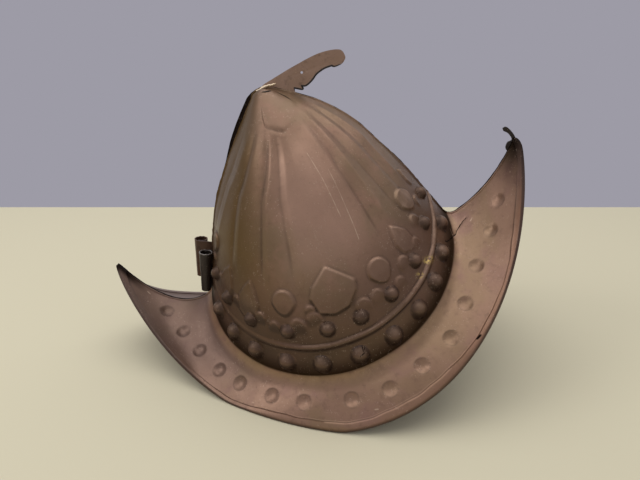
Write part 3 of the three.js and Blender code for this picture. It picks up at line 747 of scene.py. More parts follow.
# The hollows on the brim: a turn, and the distance from the mouth.
BRIM_HOLLOWS = [
    (0.058, 47), (0.111, 35.5), (0.166, 27), (0.23, 21.5), (0.28, 17.5), (0.349, 14.5), (0.408, 14),
    (0.488, 14), (0.553, 16), (0.616, 15), (0.679, 17), (0.749, 15), (0.828, 17.5), (0.883, 31.5),
    (0.929, 44),
]


def level(row, turn):
    return row["ends"] + (row["side"] - row["ends"]) * np.sin(turn)


def on_crown_row(turns, row):
    turn = np.array(turns) * math.pi
    return turn, 1 - level(row, turn) / crown_length(turn)


def on_brim(hollows):
    turn = np.array([share for share, _ in hollows]) * math.pi
    return turn, 1 + np.array([out for _, out in hollows]) / brim_length(turn)


print("domes and hollows on one half:", len(UPPER_TURNS), len(LOWER_TURNS), len(BRIM_HOLLOWS))

# %% [markdown]
# ## One half as a fine mesh
#
# A half is a closed skin: an outer face with all the relief, an inner face that follows it one sheet
# thickness below, a rounded edge at the rim and an upturned flange along the seam. The columns run
# round the half. The rows are packed most tightly where the ornament is.

# %% Rows and columns of the mesh
COLUMNS = 300
FLANGE = [(GAP / 2, 0.85), (0.4, 1.0), (1.05, 1.0), (SEAM_SIDE, 0.8), (SEAM_SIDE + 0.08, 0.15)]
HEM_RISE = 1.2
ROWS = [(0.0, 0.004, 1), (0.004, 0.06, 6), (0.06, 0.18, 22), (0.18, 0.52, 34), (0.52, 0.93, 84), (0.93, 1.0, 6)]
INNER_STEP = 4


HEM_TURNS = [0, 0.3, 0.5, 0.60, 0.70, 0.76, 0.79, 0.82, 0.86, 0.90, 0.94, 1]
HEM_WIDTHS = [6, 6, 7, 8, 6, 5.5, 6, 9, 11.5, 9.5, 6.8, 6.5]


def hem_width(turn):
    """The hem's width. Its raw edge was cut by eye."""
    wave = 0.3 * np.sin(turn * 23) + 0.2 * np.sin(turn * 57 + 1)
    return np.interp(turn / math.pi, HEM_TURNS, HEM_WIDTHS) + wave


def stations_of(turn):
    """Stations of the rows in one column."""
    up, down = MOUTH_FILLET / crown_length(turn), MOUTH_FILLET / brim_length(turn)
    hem = 1 - hem_width(turn) / brim_length(turn)
    rows = [np.linspace(a, b, n, endpoint=False) * (1 - up) for a, b, n in ROWS]
    rows.append(np.linspace(1 - up, 1 + down, 13, endpoint=False))
    rows.append(np.linspace(1 + down, 1 + hem, 40, endpoint=False))
    rows.append(np.linspace(1 + hem, 2, 10))
    return np.concatenate(rows)


def half_columns():
    turns = np.linspace(0, math.pi, COLUMNS + 1)[1:-1]
    first = [(0.0, out, share) for out, share in FLANGE]
    last = [(math.pi, out, share) for out, share in reversed(FLANGE)]
    return first + [(turn, None, 0.0) for turn in turns] + last


columns = half_columns()
column_turns = np.array([turn for turn, _, _ in columns])
stations = np.array([stations_of(np.array(turn)) for turn in column_turns])
print("grid of one half:", stations.shape)


# %% The relief on the grid
def blur(values, radius, axis):
    """A running mean along one axis of the grid."""
    count = 2 * radius + 1
    pad = [(0, 0), (0, 0)]
    pad[axis] = (radius + 1, radius)
    total = np.cumsum(np.pad(values, pad, mode="edge"), axis=axis)
    low = np.take(total, range(0, values.shape[axis]), axis=axis)
    high = np.take(total, range(count, values.shape[axis] + count), axis=axis)
    return (high - low) / count


def waves(points, amount, length, seed):
    """Gentle unevenness of beaten sheet, from a few crossing waves."""
    random = np.random.default_rng(seed)
    total = np.zeros(points.shape[:-1])
    for _ in range(14):
        direction = random.normal(size=3)
        direction *= 2 * math.pi / (np.linalg.norm(direction) * length * random.uniform(0.6, 1.8))
        total += np.sin(points @ direction + random.uniform(0, 2 * math.pi))
    return amount * total / math.sqrt(14)


def crown_relief(side, turn, station, points, around):
    height = creases(turn, station, around) + cap(turn, station)
    figures = np.zeros_like(turn)
    for shape, share, above, size in FIGURES:
        figures = np.maximum(figures, pressed(side, points, shape, share * math.pi, above, size))
    for share, above, size in PETALS:
        figures = np.maximum(figures, pressed(side, points, "petal", share * math.pi, above, size))
    above_mouth = (1 - station) * crown_length(turn)
    away = (above_mouth - level(MOULDING, turn)) / MOULDING["width"]
    moulding = MOULDING["rise"] * np.sqrt(np.maximum(0, 1 - away ** 2))
    return height + figures + moulding * (0.15 + 0.85 * ease(turn / math.pi, 0.26, 0.42))


def relief_on_grid(side, turn, station, points, around):
    on_crown = crown_relief(side, turn, station, points, around) * (station < 1)
    fade = ease(station, 0.01, 0.05)
    return fade * (on_crown + waves(points, 0.28, 34, 5 + side) * (1 - ease(station, 1.8, 1.97)))


# %% [markdown]
# The folded hem, the ragged seam and the peaks' black are worked on the same grid. `brass` marks
# where bright metal ran over the ornament near the front.

# %% The hem and the marks
BRASS = [
    (2.1, [(0.792, 0.846), (0.779, 0.83), (0.774, 0.824)]),
    (1.7, [(0.732, 0.824), (0.738, 0.83)]),
]


def hem_relief(turn, station):
    gap = (2 - station) * brim_length(turn)
    fold = ease(hem_width(turn) - gap, -0.3, 0.5)
    share = turn / math.pi
    roll = 1.5 + 3.3 * ease(share, 0.3, 0.42) * (1 - ease(share, 0.66, 0.74))
    over = np.clip(1 - gap / roll, 0, 1)
    return HEM_RISE * fold - 2.1 * (1 - np.sqrt(1 - over ** 2))


def hem_line(turn, station):
    """The dark line along the hem's raw edge, a painted shade at its step, added to `hollow`."""
    gap = (2 - station) * brim_length(turn) - hem_width(turn)
    return 0.55 * np.exp(-((gap / 0.6) ** 2)) * (station > 1)


def marks(side, points, paths):
    """One inside the marks' paths, and fading to nothing beside them."""
    total = np.zeros(points.shape[:-1])
    for width, path in paths if side < 0 else ():
        line = np.array([half_point(side, np.array(t * math.pi), np.array(s)) for t, s in path])
        for a, b in zip(line, line[1:]):
            share = np.clip(((points - a) @ (b - a)) / ((b - a) @ (b - a)), 0, 1)
            away = np.linalg.norm(points - (a + share[..., None] * (b - a)), axis=-1)
            total = np.maximum(total, np.exp(-((away / width) ** 2)))
    return total


def seam_rise(side, rear, station):
    """How high the flange stands. It is filed unevenly, and stands open at the rear of the top."""
    random = np.random.default_rng(31 + side)
    knots = random.uniform(-0.35 if side < 0 else -0.15, 0.15, 120)
    rise = FLANGE_RISE + np.interp(station, np.linspace(0, 2, 120), knots) * (station > 0.03)
    opened = 2.0 * ease(station, 0.0, 0.04) * (1 - ease(station, 0.16, 0.36))
    if side < 0:
        opened = -0.5 * opened
    return rise + (opened if rear else 0)


def peak_shade(share, station):
    """How far a point lies in one of the two blackened peaks."""
    front = ease(share, 0.87, 0.985) * ease(station, 1.5, 1.93)
    rear = (1 - ease(share, 0.012, 0.05)) * ease(station, 1.7, 1.93)
    return np.maximum(front, rear)


# %% Build one half
def grid_faces(first, rows, cols, flip):
    index = first + np.arange(rows * cols).reshape(cols, rows)
    a, b = index[:-1, :-1], index[:-1, 1:]
    c, d = index[1:, 1:], index[1:, :-1]
    quads = np.stack([a, b, c, d] if not flip else [a, d, c, b], -1)
    return quads.reshape(-1, 4).tolist(), index


def half_mesh(name, side):
    turn = np.repeat(column_turns[:, None], stations.shape[1], axis=1)
    points = half_point(side, turn, stations)
    normal = half_normal(side, turn, stations)
    around = around_at(turn, stations)
    relief = relief_on_grid(side, turn, stations, points, around)
    relief -= 0.5 * marks(side, points, SPLITS[:1])
    grooves = np.maximum(0, -creases(turn, stations, around))

    flange_out = np.array([SEAM_SIDE if out is None else out for _, out, _ in columns])
    is_flange = np.array([out is not None for _, out, _ in columns])
    share = np.array([share for _, _, share in columns])
    first = np.arange(len(columns)) < len(columns) / 2
    rise = np.where(first[:, None], seam_rise(side, True, stations), seam_rise(side, False, stations))
    rise *= share[:, None]
    fold = hem_relief(turn, stations)
    outer_height = np.where(is_flange[:, None], np.maximum(rise, fold), relief + fold)
    outer = points + normal * outer_height[..., None]
    inner = points + normal * (np.where(is_flange[:, None], 0, relief) - SHEET)[..., None]
    inner[:, 0] = [CROWN_TOP_X, 0, CROWN_RISE - 2 * SHEET]
    inner[:, 0, 1] = side * SEAM_SIDE
    count = len(FLANGE)
    for index in range(count):
        for column in (index, len(columns) - 1 - index):
            outer[column, :, 1] = side * flange_out[column]
            inner[column, :, 1] = side * (GAP / 2 + (SEAM_SIDE - GAP / 2) * index / count)

    rows = stations.shape[1]
    kept = np.unique(np.append(np.arange(0, rows, INNER_STEP), rows - 1))
    flip = side > 0
    outer_faces, outer_index = grid_faces(0, rows, len(columns), flip)
    inner_faces, inner_index = grid_faces(outer.reshape(-1, 3).shape[0], len(kept), len(columns), not flip)
    faces = outer_faces + inner_faces
    edge = np.stack([outer_index[:-1, -1], inner_index[:-1, -1], inner_index[1:, -1], outer_index[1:, -1]], -1)
    faces += (edge if not flip else edge[:, ::-1]).tolist()
    for column, turned in ((0, flip), (-1, not flip)):
        for k in range(len(kept) - 1):
            ring = list(outer_index[column, kept[k]:kept[k + 1] + 1])
            ring += [inner_index[column, k + 1], inner_index[column, k]]
            faces.append([int(i) for i in (ring if turned else ring[::-1])])

    values = {
        "relief": relief,
        "hollow": np.maximum(0, blur(blur(relief, 3, 0), 3, 1) - relief) + 0.14 * grooves + hem_line(turn, stations),
        "above_mouth": height_above(turn, stations),
        "rim_gap": np.where(stations < 1, 99, (2 - stations) * brim_length(turn)),
        "turn": turn / math.pi,
        # The far half's flange is painted dark all along: painted shade of the seam's gap.
        "split": np.where(is_flange[:, None] & (side > 0), 0.95, 0.0) * np.ones_like(relief),
        "near_half": np.full_like(relief, side < 0),
        "brass": marks(side, points, BRASS),
        "peak": peak_shade(turn / math.pi, stations),
        "inside": np.zeros_like(relief),
    }
    return make_mesh(name, outer, inner[:, kept], faces, normal, values, kept)


PEAK_BEND = {"from_x": 130, "reach": 12, "back": 1.2, "down": 4.4}


def bent_peak(vertices):
    """The tip of the front peak is bent back and down a little."""
    in_front = vertices[:, 0] > PEAK_BEND["from_x"] * MM
    below_tip = vertices[:, 2] - vertices[in_front, 2].max()
    bend = np.clip(below_tip / (PEAK_BEND["reach"] * MM) + 1, 0, 1) ** 2 * in_front
    vertices[:, 0] -= PEAK_BEND["back"] * MM * bend
    vertices[:, 2] -= PEAK_BEND["down"] * MM * bend
    return vertices


def make_mesh(name, outer, inner, faces, normal, values, kept):
    mesh = bpy.data.meshes.new(name)
    vertices = np.concatenate([stand(outer.reshape(-1, 3)), stand(inner.reshape(-1, 3))])
    vertices = bent_peak(vertices)
    vertices[:, 2] = np.maximum(vertices[:, 2], 0)
    mesh.from_pydata(vertices.tolist(), [], faces)
    for label, grid in values.items():
        under = np.ones_like(grid[:, kept]) if label == "inside" else grid[:, kept]
        layer = mesh.attributes.new(label, "FLOAT", "POINT")
        layer.data.foreach_set("value", np.concatenate([grid.ravel(), under.ravel()]).astype(np.float32))
    lift = np.concatenate([normal.reshape(-1, 3), normal[:, kept].reshape(-1, 3)])
    lift = stand(lift) - stand(np.zeros((1, 3)))
    layer = mesh.attributes.new("lift", "FLOAT_VECTOR", "POINT")
    layer.data.foreach_set("vector", lift.ravel().astype(np.float32))
    tidy = bmesh.new()
    tidy.from_mesh(mesh)
    bmesh.ops.remove_doubles(tidy, verts=tidy.verts, dist=2e-6)
    tidy.to_mesh(mesh)
    print(name, "volume, cm3:", round(tidy.calc_volume(signed=True) * 1e6, 1))
    tidy.free()
    made = bpy.data.objects.new(name, mesh)
    bpy.context.collection.objects.link(made)
    return made


raw_halves = {side: half_mesh(name, side) for side, name in ((-1, "half_near"), (1, "half_far"))}
print("faces in a half:", len(raw_halves[-1].data.polygons))

# %% [markdown]
# ## Pressing the domes with Geometry Nodes
#
# The domes on the crown and the hollows in the brim are all pressed from the same sheet, so they are
# not separate pieces. One Geometry Nodes tree presses them: it measures how far each point of the
# sheet is from the nearest centre, and pushes it out by a round profile. Its inputs are the centres,
# the diameter and the rise, and a negative rise presses a hollow. Three rows use the same tree.


# %% Geometry Nodes: press a row of domes
def make_press():
    group, given, out = new_group(
        "press_row",
        {"Sheet": ("NodeSocketGeometry", None), "Centres": ("NodeSocketObject", None),
         "Diameter": (FLOAT, 0.01), "Rise": (FLOAT, 0.003), "Fullness": (FLOAT, 0.75),
         "Dirt": (FLOAT, 0.6), "Material": ("NodeSocketMaterial", None)},
        {"Sheet": ("NodeSocketGeometry", None)},
        kind="GeometryNodeTree",
    )
    centres = node(group, "GeometryNodeObjectInfo", {"Object": given["Centres"]})
    nearest = node(group, "GeometryNodeProximity", {"Geometry": centres.outputs["Geometry"]},
                   target_element="POINTS")
    radius = math_node(group, "MULTIPLY", given["Diameter"], 0.5)
    share = math_node(group, "DIVIDE", nearest.outputs["Distance"], radius)
    square = math_node(group, "MULTIPLY", share, share)
    cup = math_node(group, "POWER", math_node(group, "SUBTRACT", 1.0, square, clamp=True), given["Fullness"])
    height = math_node(group, "MULTIPLY", cup, given["Rise"])
    lift = node(group, "GeometryNodeInputNamedAttribute", {"Name": "lift"}, data_type="FLOAT_VECTOR")
    offset = node(group, "ShaderNodeVectorMath", operation="SCALE")
    group.links.new(lift.outputs["Attribute"], offset.inputs[0])
    group.links.new(math_node(group, "MULTIPLY", height, 1 / MM), offset.inputs["Scale"])
    moved = node(group, "GeometryNodeSetPosition",
                 {"Geometry": given["Sheet"], "Offset": offset.outputs["Vector"]})
    # Painted shade: a ring round the foot of each dome and hollow is added to `hollow`, which the material darkens.
    ring = math_node(group, "SUBTRACT", share, 1.02)
    ring = math_node(group, "DIVIDE", ring, 0.16)
    ring = math_node(group, "MULTIPLY", ring, ring)
    ring = math_node(group, "EXPONENT", math_node(group, "MULTIPLY", ring, -1.0))
    was_hollow = node(group, "GeometryNodeInputNamedAttribute", {"Name": "hollow"}, data_type="FLOAT")
    deeper = math_node(group, "MULTIPLY_ADD", ring, given["Dirt"], was_hollow.outputs["Attribute"])
    marked = node(group, "GeometryNodeStoreNamedAttribute",
                  {"Geometry": moved.outputs["Geometry"], "Name": "hollow", "Value": deeper},
                  data_type="FLOAT", domain="POINT")
    was_relief = node(group, "GeometryNodeInputNamedAttribute", {"Name": "relief"}, data_type="FLOAT")
    raised = math_node(group, "MULTIPLY_ADD", height, 0.45 / MM, was_relief.outputs["Attribute"])
    marked = node(group, "GeometryNodeStoreNamedAttribute",
                  {"Geometry": marked.outputs["Geometry"], "Name": "relief", "Value": raised},
                  data_type="FLOAT", domain="POINT")
    # `upward` keeps how far each point faces up; the material paints shade and highlights from it.
    facing = node(group, "ShaderNodeSeparateXYZ", {"Vector": node(group, "GeometryNodeInputNormal").outputs["Normal"]})
    marked = node(group, "GeometryNodeStoreNamedAttribute",
                  {"Geometry": marked.outputs["Geometry"], "Name": "upward", "Value": facing.outputs["Z"]},
                  data_type="FLOAT", domain="POINT")
    real = node(group, "GeometryNodeRealizeInstances", {"Geometry": marked.outputs["Geometry"]})
    painted = node(group, "GeometryNodeSetMaterial",
                   {"Geometry": real.outputs["Geometry"], "Material": given["Material"]})
    group.links.new(painted.outputs["Geometry"], out["Sheet"])
    return group


press_row = make_press()
SOCKETS = {item.name: item.identifier for item in press_row.interface.items_tree if item.in_out == "INPUT"}
print("inputs of the press:", sorted(SOCKETS))


# %% Press the rows into each half
def centres_object(side, turns, station):
    mesh = bpy.data.meshes.new("centres")
    mesh.from_pydata(stand(half_point(side, turns, station)).tolist(), [], [])
    made = bpy.data.objects.new("centres", mesh)
    bpy.context.collection.objects.link(made)
    return made


def apply_modifiers(piece, name):
    """The evaluated mesh as a new plain object at the origin. The old object is removed."""
    bpy.context.view_layer.update()
    ready = piece.evaluated_get(bpy.context.evaluated_depsgraph_get())
    mesh = bpy.data.meshes.new_from_object(ready)
    mesh.name = name
    bpy.data.objects.remove(piece)
    made = bpy.data.objects.new(name, mesh)
    bpy.context.collection.objects.link(made)
    return made


def press(piece, side):
    rows = [
        (on_crown_row(UPPER_TURNS, UPPER_ROW), 10.4, 4.6, 0.55, 0.6),
        (on_crown_row(LOWER_TURNS, LOWER_ROW), 12.8, 5.4, 0.55, 0.6),
        (on_brim(BRIM_HOLLOWS), 10.5, -1.45, 0.9, 0.45),
    ]
    helpers = []
    for places, diameter, rise, fullness, ring_shade in rows:
        centres = centres_object(side, *places)
        helpers.append(centres)
        modifier = piece.modifiers.new("press", "NODES")
        modifier.node_group = press_row
        modifier[SOCKETS["Centres"]] = centres
        modifier[SOCKETS["Diameter"]] = diameter * MM
        modifier[SOCKETS["Rise"]] = rise * MM
        modifier[SOCKETS["Fullness"]] = fullness
        modifier[SOCKETS["Dirt"]] = ring_shade
        modifier[SOCKETS["Material"]] = patina
    made = apply_modifiers(piece, "helmet_" + piece.name)
    for helper in helpers:
        bpy.data.objects.remove(helper)
    made.data.shade_smooth()
    made.data.set_sharp_from_angle(angle=math.radians(48))
    return made


half_near = press(raw_halves[-1], -1)
half_far = press(raw_halves[1], 1)
for made, cad_node in ((half_near, "shell_half_near"), (half_far, "shell_half_far")):
    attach(made, "root")
    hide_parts(cad_node)
    print(made.name, "triangles:", sum(len(p.vertices) - 2 for p in made.data.polygons))

# %% [markdown]
# ## The stalk
#
# The stalk is a flat plate cut to a cusped outline, with a small hole. A flat filled curve gives its
# outline, the hole and a fine bevel in one step. The plate's lower border is dark, so a thin black
# bead is swept along it. Blobs of bright solder hold its root.

# %% Flat plates from an outline
def merge(pieces, name):
    """One object from several, keeping each part's material."""
    merged = bmesh.new()
    materials = []
    for piece in pieces:
        before = len(merged.faces)
        merged.from_mesh(piece.data)
        merged.faces.ensure_lookup_table()
        for face in merged.faces[before:]:
            face.material_index += len(materials)
        materials += list(piece.data.materials)
        bpy.data.objects.remove(piece)
    mesh = bpy.data.meshes.new(name)
    merged.to_mesh(mesh)
    merged.free()
    for material in materials:
        mesh.materials.append(material)
    made = bpy.data.objects.new(name, mesh)
    bpy.context.collection.objects.link(made)
    return made


def placed(piece, name, place, material, smooth=40):
    """A plain mesh from any object, with its points moved by place and a finish put on."""
    bpy.context.view_layer.update()
    mesh = bpy.data.meshes.new_from_object(piece.evaluated_get(bpy.context.evaluated_depsgraph_get()))
    bpy.data.objects.remove(piece)
    flat = np.empty(len(mesh.vertices) * 3)
    mesh.vertices.foreach_get("co", flat)
    mesh.vertices.foreach_set("co", stand(place(flat.reshape(-1, 3))).ravel())
    mesh.materials.clear()
    mesh.materials.append(material)
    tidy = bmesh.new()
    tidy.from_mesh(mesh)
    bmesh.ops.remove_doubles(tidy, verts=tidy.verts, dist=1e-6)
    bmesh.ops.recalc_face_normals(tidy, faces=tidy.faces)
    tidy.to_mesh(mesh)
    tidy.free()
    mesh.shade_smooth()
    mesh.set_sharp_from_angle(angle=math.radians(smooth))
    made = bpy.data.objects.new(name, mesh)
    bpy.context.collection.objects.link(made)
    return made


def smooth_line(points, steps, closed=False):
    """Points on a soft curve through the given ones."""
    points = np.array(points, float)
    padded = np.roll(points, 1, 0)[:1] if closed else 2 * points[:1] - points[1:2]
    after = points[:2] if closed else 2 * points[-1:] - points[-2:-1]
    p = np.concatenate([padded, points, after])
    made = []
    for k in range(1, len(p) - 2):
        for t in np.linspace(0, 1, steps, endpoint=False):
            a = 2 * p[k] + (p[k + 1] - p[k - 1]) * t
            b = (2 * p[k - 1] - 5 * p[k] + 4 * p[k + 1] - p[k + 2]) * t ** 2
            c = (3 * p[k] - p[k - 1] - 3 * p[k + 1] + p[k + 2]) * t ** 3
            made.append((a + b + c) / 2)
    return np.array(made if closed else made + [p[-2]])


def plate(outlines, thickness, bevel):
    """A flat bevelled plate around z = 0. Outlines after the first are holes."""
    data = bpy.data.curves.new("plate", "CURVE")
    data.dimensions = "2D"
    data.fill_mode = "BOTH"
    data.extrude = thickness / 2 - bevel
    data.bevel_depth = bevel
    data.bevel_resolution = 2
    data.offset = -bevel
    for outline in outlines:
        spline = data.splines.new("POLY")
        spline.points.add(len(outline) - 1)
        flat = np.column_stack([outline, np.zeros(len(outline)), np.ones(len(outline))])
        spline.points.foreach_set("co", flat.ravel())
        spline.use_cyclic_u = True
    made = bpy.data.objects.new("plate", data)
    bpy.context.collection.objects.link(made)
    return made


def bead(points, radius, ends=0.4):
    """A round bead along a path, thinner at its ends."""
    data = bpy.data.curves.new("bead", "CURVE")
    data.dimensions = "3D"
    data.bevel_depth = radius
    data.bevel_resolution = 3
    data.use_fill_caps = True
    spline = data.splines.new("POLY")
    spline.points.add(len(points) - 1)
    spline.points.foreach_set("co", np.column_stack([points, np.ones(len(points))]).ravel())
    for k, point in enumerate(spline.points):
        from_end = min(k, len(points) - 1 - k) / (len(points) - 1)
        point.radius = ends + (1 - ends) * min(1, from_end * 6)
    made = bpy.data.objects.new("bead", data)
    bpy.context.collection.objects.link(made)
    return made


# %% The stalk's outline
STALK_REACH, STALK_RISE, STALK_WALL = 63, 9.5, 1.6
STALK_BACK = [
    (-0.05, -0.35), (0.02, 0.13), (0.15, 0.33), (0.26, 0.47), (0.38, 0.62), (0.5, 0.74), (0.6, 0.84),
    (0.7, 0.91), (0.79, 0.92), (0.88, 0.86), (0.95, 0.76), (1.0, 0.6), (1.02, 0.31), (1.02, 0.0),
    (0.99, -0.21),
]
STALK_FRONT = [
    [(0.99, -0.21), (0.95, -0.3), (0.88, -0.31), (0.85, -0.18)],
    [(0.85, -0.18), (0.77, -0.18), (0.71, -0.26), (0.65, -0.4), (0.6, -0.63), (0.54, -0.83), (0.49, -0.91),
     (0.45, -0.8)],
    [(0.45, -0.8), (0.45, -1.08), (0.39, -0.89), (0.36, -0.77)],
    [(0.36, -0.77), (0.35, -1.01), (0.34, -1.55)],
]
STALK_SIZE = np.array([STALK_REACH, STALK_RISE])


def seam_line(clear):
    """The top of the seam from rear to front, as x and z, raised by a clearance."""
    lines = []
    for turn in (0.0, math.pi):
        station = np.linspace(0.004, 0.4, 120)
        turns = np.full_like(station, turn)
        raised = half_point(-1, turns, station) + half_normal(-1, turns, station) * (FLANGE_RISE + clear)
        lines.append(raised[:, [0, 2]])
    return np.concatenate([lines[0][::-1], lines[1]])


def stalk_outline():
    back = smooth_line(STALK_BACK, 6) * STALK_SIZE
    front = np.concatenate([smooth_line(part, 5)[:-1] for part in STALK_FRONT]) * STALK_SIZE
    foot = seam_line(GAP) - [CROWN_TOP_X, CROWN_RISE]
    left, right = back[0, 0], STALK_FRONT[-1][-1][0] * STALK_REACH
    foot = foot[(foot[:, 0] > left) & (foot[:, 0] < right)]
    start = [left, np.interp(left, foot[:, 0], foot[:, 1])]
    return np.concatenate([[start], back[1:], front, foot[::-1]]), front


def upright(shift=0.0):
    """From a flat plate's own x, y and z to the seam's plane at the crown's top."""
    return lambda p: np.column_stack([p[:, 0] + CROWN_TOP_X, shift - p[:, 2], p[:, 1] + CROWN_RISE])


outline, lower_edge = stalk_outline()
angles = np.linspace(0, 2 * math.pi, 24, endpoint=False)
hole = np.column_stack([np.cos(angles), np.sin(angles)]) * 0.9 + np.array([0.5, 0.08]) * STALK_SIZE
print("stalk outline points:", len(outline))


# %% Materials for the stalk, the tubes and the solder
def plain_metal(main, second, stain, scale, rough):
    def build(tree, shader):
        where = node(tree, "ShaderNodeTexCoord").outputs["Object"]
        patches = use_group(tree, cloudy_patina, {
            "Where": where, "Main": main, "Second": second, "Third": main, "Stain": stain,
            "Stain Amount": 0.6})
        specks = use_group(tree, dust_and_pits, {"Where": where, "Scale": scale, "Amount": 0.7})
        shade = mix_colour(tree, specks["Dust"], patches["Colour"], colour(170, 150, 130))
        shade = mix_colour(tree, math_node(tree, "MULTIPLY", specks["Pits"], 0.35), shade, stain)
        tree.links.new(shade, shader.inputs["Base Color"])
        tree.links.new(math_node(tree, "MULTIPLY_ADD", patches["Cloud"], 0.3, rough), shader.inputs["Roughness"])
        height = use_group(tree, beaten_sheet, {"Where": where, "Pits": specks["Pits"]})["Height"]
        bump = node(tree, "ShaderNodeBump", {"Height": height, "Strength": 0.35, "Distance": 0.0005})
        tree.links.new(bump.outputs["Normal"], shader.inputs["Normal"])
    return build


plate_finish = finish_metal("stalk_sheet", 0.35, 0.5, plain_metal(
    colour(154, 127, 112), colour(140, 113, 96), colour(92, 70, 57), 900, 0.32))
black_edge = finish_metal("blackened_edge", 0.3, 0.5, plain_metal(
    colour(30, 23, 20), colour(38, 29, 24), colour(16, 12, 10), 900, 0.35))
dark_sheet = finish_metal("dark_sheet", 0.4, 0.5, plain_metal(
    colour(52, 42, 36), colour(40, 32, 28), colour(20, 15, 13), 900, 0.25))
brown_sheet = finish_metal("brown_tube_sheet", 0.4, 0.5, plain_metal(
    colour(92, 64, 48), colour(72, 50, 38), colour(34, 22, 16), 900, 0.25))
bright_edge = finish_metal("worn_tube_edge", 0.5, 0.4, plain_metal(
    colour(128, 122, 118), colour(104, 98, 94), colour(60, 52, 48), 900, 0.2))
solder = finish_metal("solder", 0.35, 0.4, plain_metal(
    colour(224, 208, 184), colour(206, 182, 148), colour(120, 92, 66), 700, 0.15))


# %% Make the stalk and its solder
def lumps(name, blobs, seed, material):
    """Blobs of solder: each has a centre and half sizes, in the helmet's own frame."""
    random = np.random.default_rng(seed)
    made = []
    for centre, half in blobs:
        blob = bmesh.new()
        bmesh.ops.create_icosphere(blob, subdivisions=4, radius=1)
        points = np.array([v.co for v in blob.verts])
        grow = 1 + waves(points, 0.09, 1.1, int(random.integers(1000)))
        mesh = bpy.data.meshes.new(name)
        blob.to_mesh(mesh)
        blob.free()
        mesh.vertices.foreach_set("co", (points * grow[:, None]).ravel())
        raw = bpy.data.objects.new(name, mesh)
        bpy.context.collection.objects.link(raw)
        made.append(placed(raw, name, lambda p, c=centre, h=half: p * h + c, material))
    return merge(made, name) if len(made) > 1 else made[0]


stalk_plate = placed(plate([outline, hole], STALK_WALL, 0.25), "stalk_plate", upright(), plate_finish)
edge_path = np.column_stack([lower_edge, np.full(len(lower_edge), 0.35)])
stalk_edge = placed(bead(edge_path, 0.75), "stalk_edge", upright(), black_edge)
SOLDER_BLOBS = [
    ((-3.4, -1.4, 92.6), (3.2, 1.0, 0.75)),
    ((1.4, -1.5, 93.3), (4.4, 1.1, 0.8)),
    ((6.2, -1.4, 92.8), (3.2, 1.0, 0.65)),
    ((2.0, 1.5, 93.4), (5.5, 1.1, 0.8)),
]
stalk_solder = lumps("stalk_solder", SOLDER_BLOBS, 4, solder)
# Painted shade: a black bead along the slot under the solder stands for the shade in it.
SLOT = [(0.49, 0.0115), (0.6, 0.0145), (0.7, 0.0175), (0.79, 0.021)]
slot_line = smooth_line([half_point(-1, np.array(t * math.pi), np.array(s)) for t, s in SLOT], 4)
stalk_slot = placed(bead(slot_line, 0.5), "stalk_slot", lambda p: p, black_edge)
stalk_edge = merge([stalk_edge, stalk_slot], "stalk_edge")
for made, slot in ((stalk_plate, "patinated_sheet"), (stalk_edge, "patinated_sheet"), (stalk_solder, "patinated_sheet")):
    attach(made, "root")
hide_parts("stalk")

# %% [markdown]
# ## The tongue on the front peak
#
# At the front peak a strip of the far half's flange was left long and curls back over the peak. It
# is bent sheet, so it is a plate with a soft curved outline, like the stalk.

# %% The tongue
TONGUE = [(-6, -15), (-9.8, -12), (-10.6, -8.6), (-8.4, -5.2), (-4.9, -4.2), (-6.6, 1.0), (-9.9, 4.3)]
TONGUE_BACK = [(-10.3, 6.8), (-7.5, 6.9), (-4.4, 2.7), (-2.4, -2.3), (-1.9, -6.6), (-2.4, -12)]
peak = half_point(1, np.array(math.pi), np.array(2.0))
tongue_line = np.concatenate([smooth_line(TONGUE, 8), smooth_line(TONGUE_BACK, 8)])


def at_peak(p):
    curl = 0.9 * ease(p[:, 1], 1, 8)
    return np.column_stack([p[:, 0] + peak[0], 0.95 - p[:, 2] - curl, p[:, 1] + peak[2]])


tongue = placed(plate([tongue_line], FLANGE_WALL, 0.2), "peak_tongue", at_peak, black_edge)
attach(tongue, "root")
print("tongue points:", len(tongue.data.vertices))

# %% [markdown]
# ## The plume tubes
#
# Two tubes at the back held the plumes. Each is rolled from a strip of sheet, laps over itself, and
# ends in a tail that reaches the crown. The rolled outline is swept up the tube in fine steps, so
# that it can taper and have dents and a worn, uneven mouth.

# %% The rolled outline
TUBE_LENGTH, TUBE_DIAMETER, TUBE_TAPER, TUBE_WALL, TUBE_TURNS = 34, 11.5, 0.3, 0.95, 1.08
TUBE_STATION = 0.815
TUBES = {
    "plume_tube_near": {"side": -1, "out": 10.2, "tail": 0.3, "lift": 0, "material": dark_sheet},
    "plume_tube_far": {"side": 1, "out": 10, "tail": 9.5, "lift": 7, "material": brown_sheet},
}


def rolled_outline(tail, steps=72):
    radius = (TUBE_DIAMETER - TUBE_WALL) / 2
    turns = np.linspace(0, TUBE_TURNS, steps + 1)
    inward = np.maximum(0, turns - 0.5) * 2 * (TUBE_WALL + GAP + 0.1)
    angle = (turns - 0.25) * 2 * math.pi
    ring = np.column_stack([np.cos(angle), np.sin(angle)])
    outer = ring * (radius - inward + TUBE_WALL / 2)[:, None]
    inner = ring * (radius - inward - TUBE_WALL / 2)[:, None]
    reach = np.linspace(-tail - TUBE_DIAMETER / 2, 0, 10)[:-1]
    outside = np.column_stack([reach, np.full(9, -radius - TUBE_WALL / 2)])
    inside = np.column_stack([reach, np.full(9, -radius + TUBE_WALL / 2)])
    return np.concatenate([outside, outer]), np.concatenate([inside, inner])


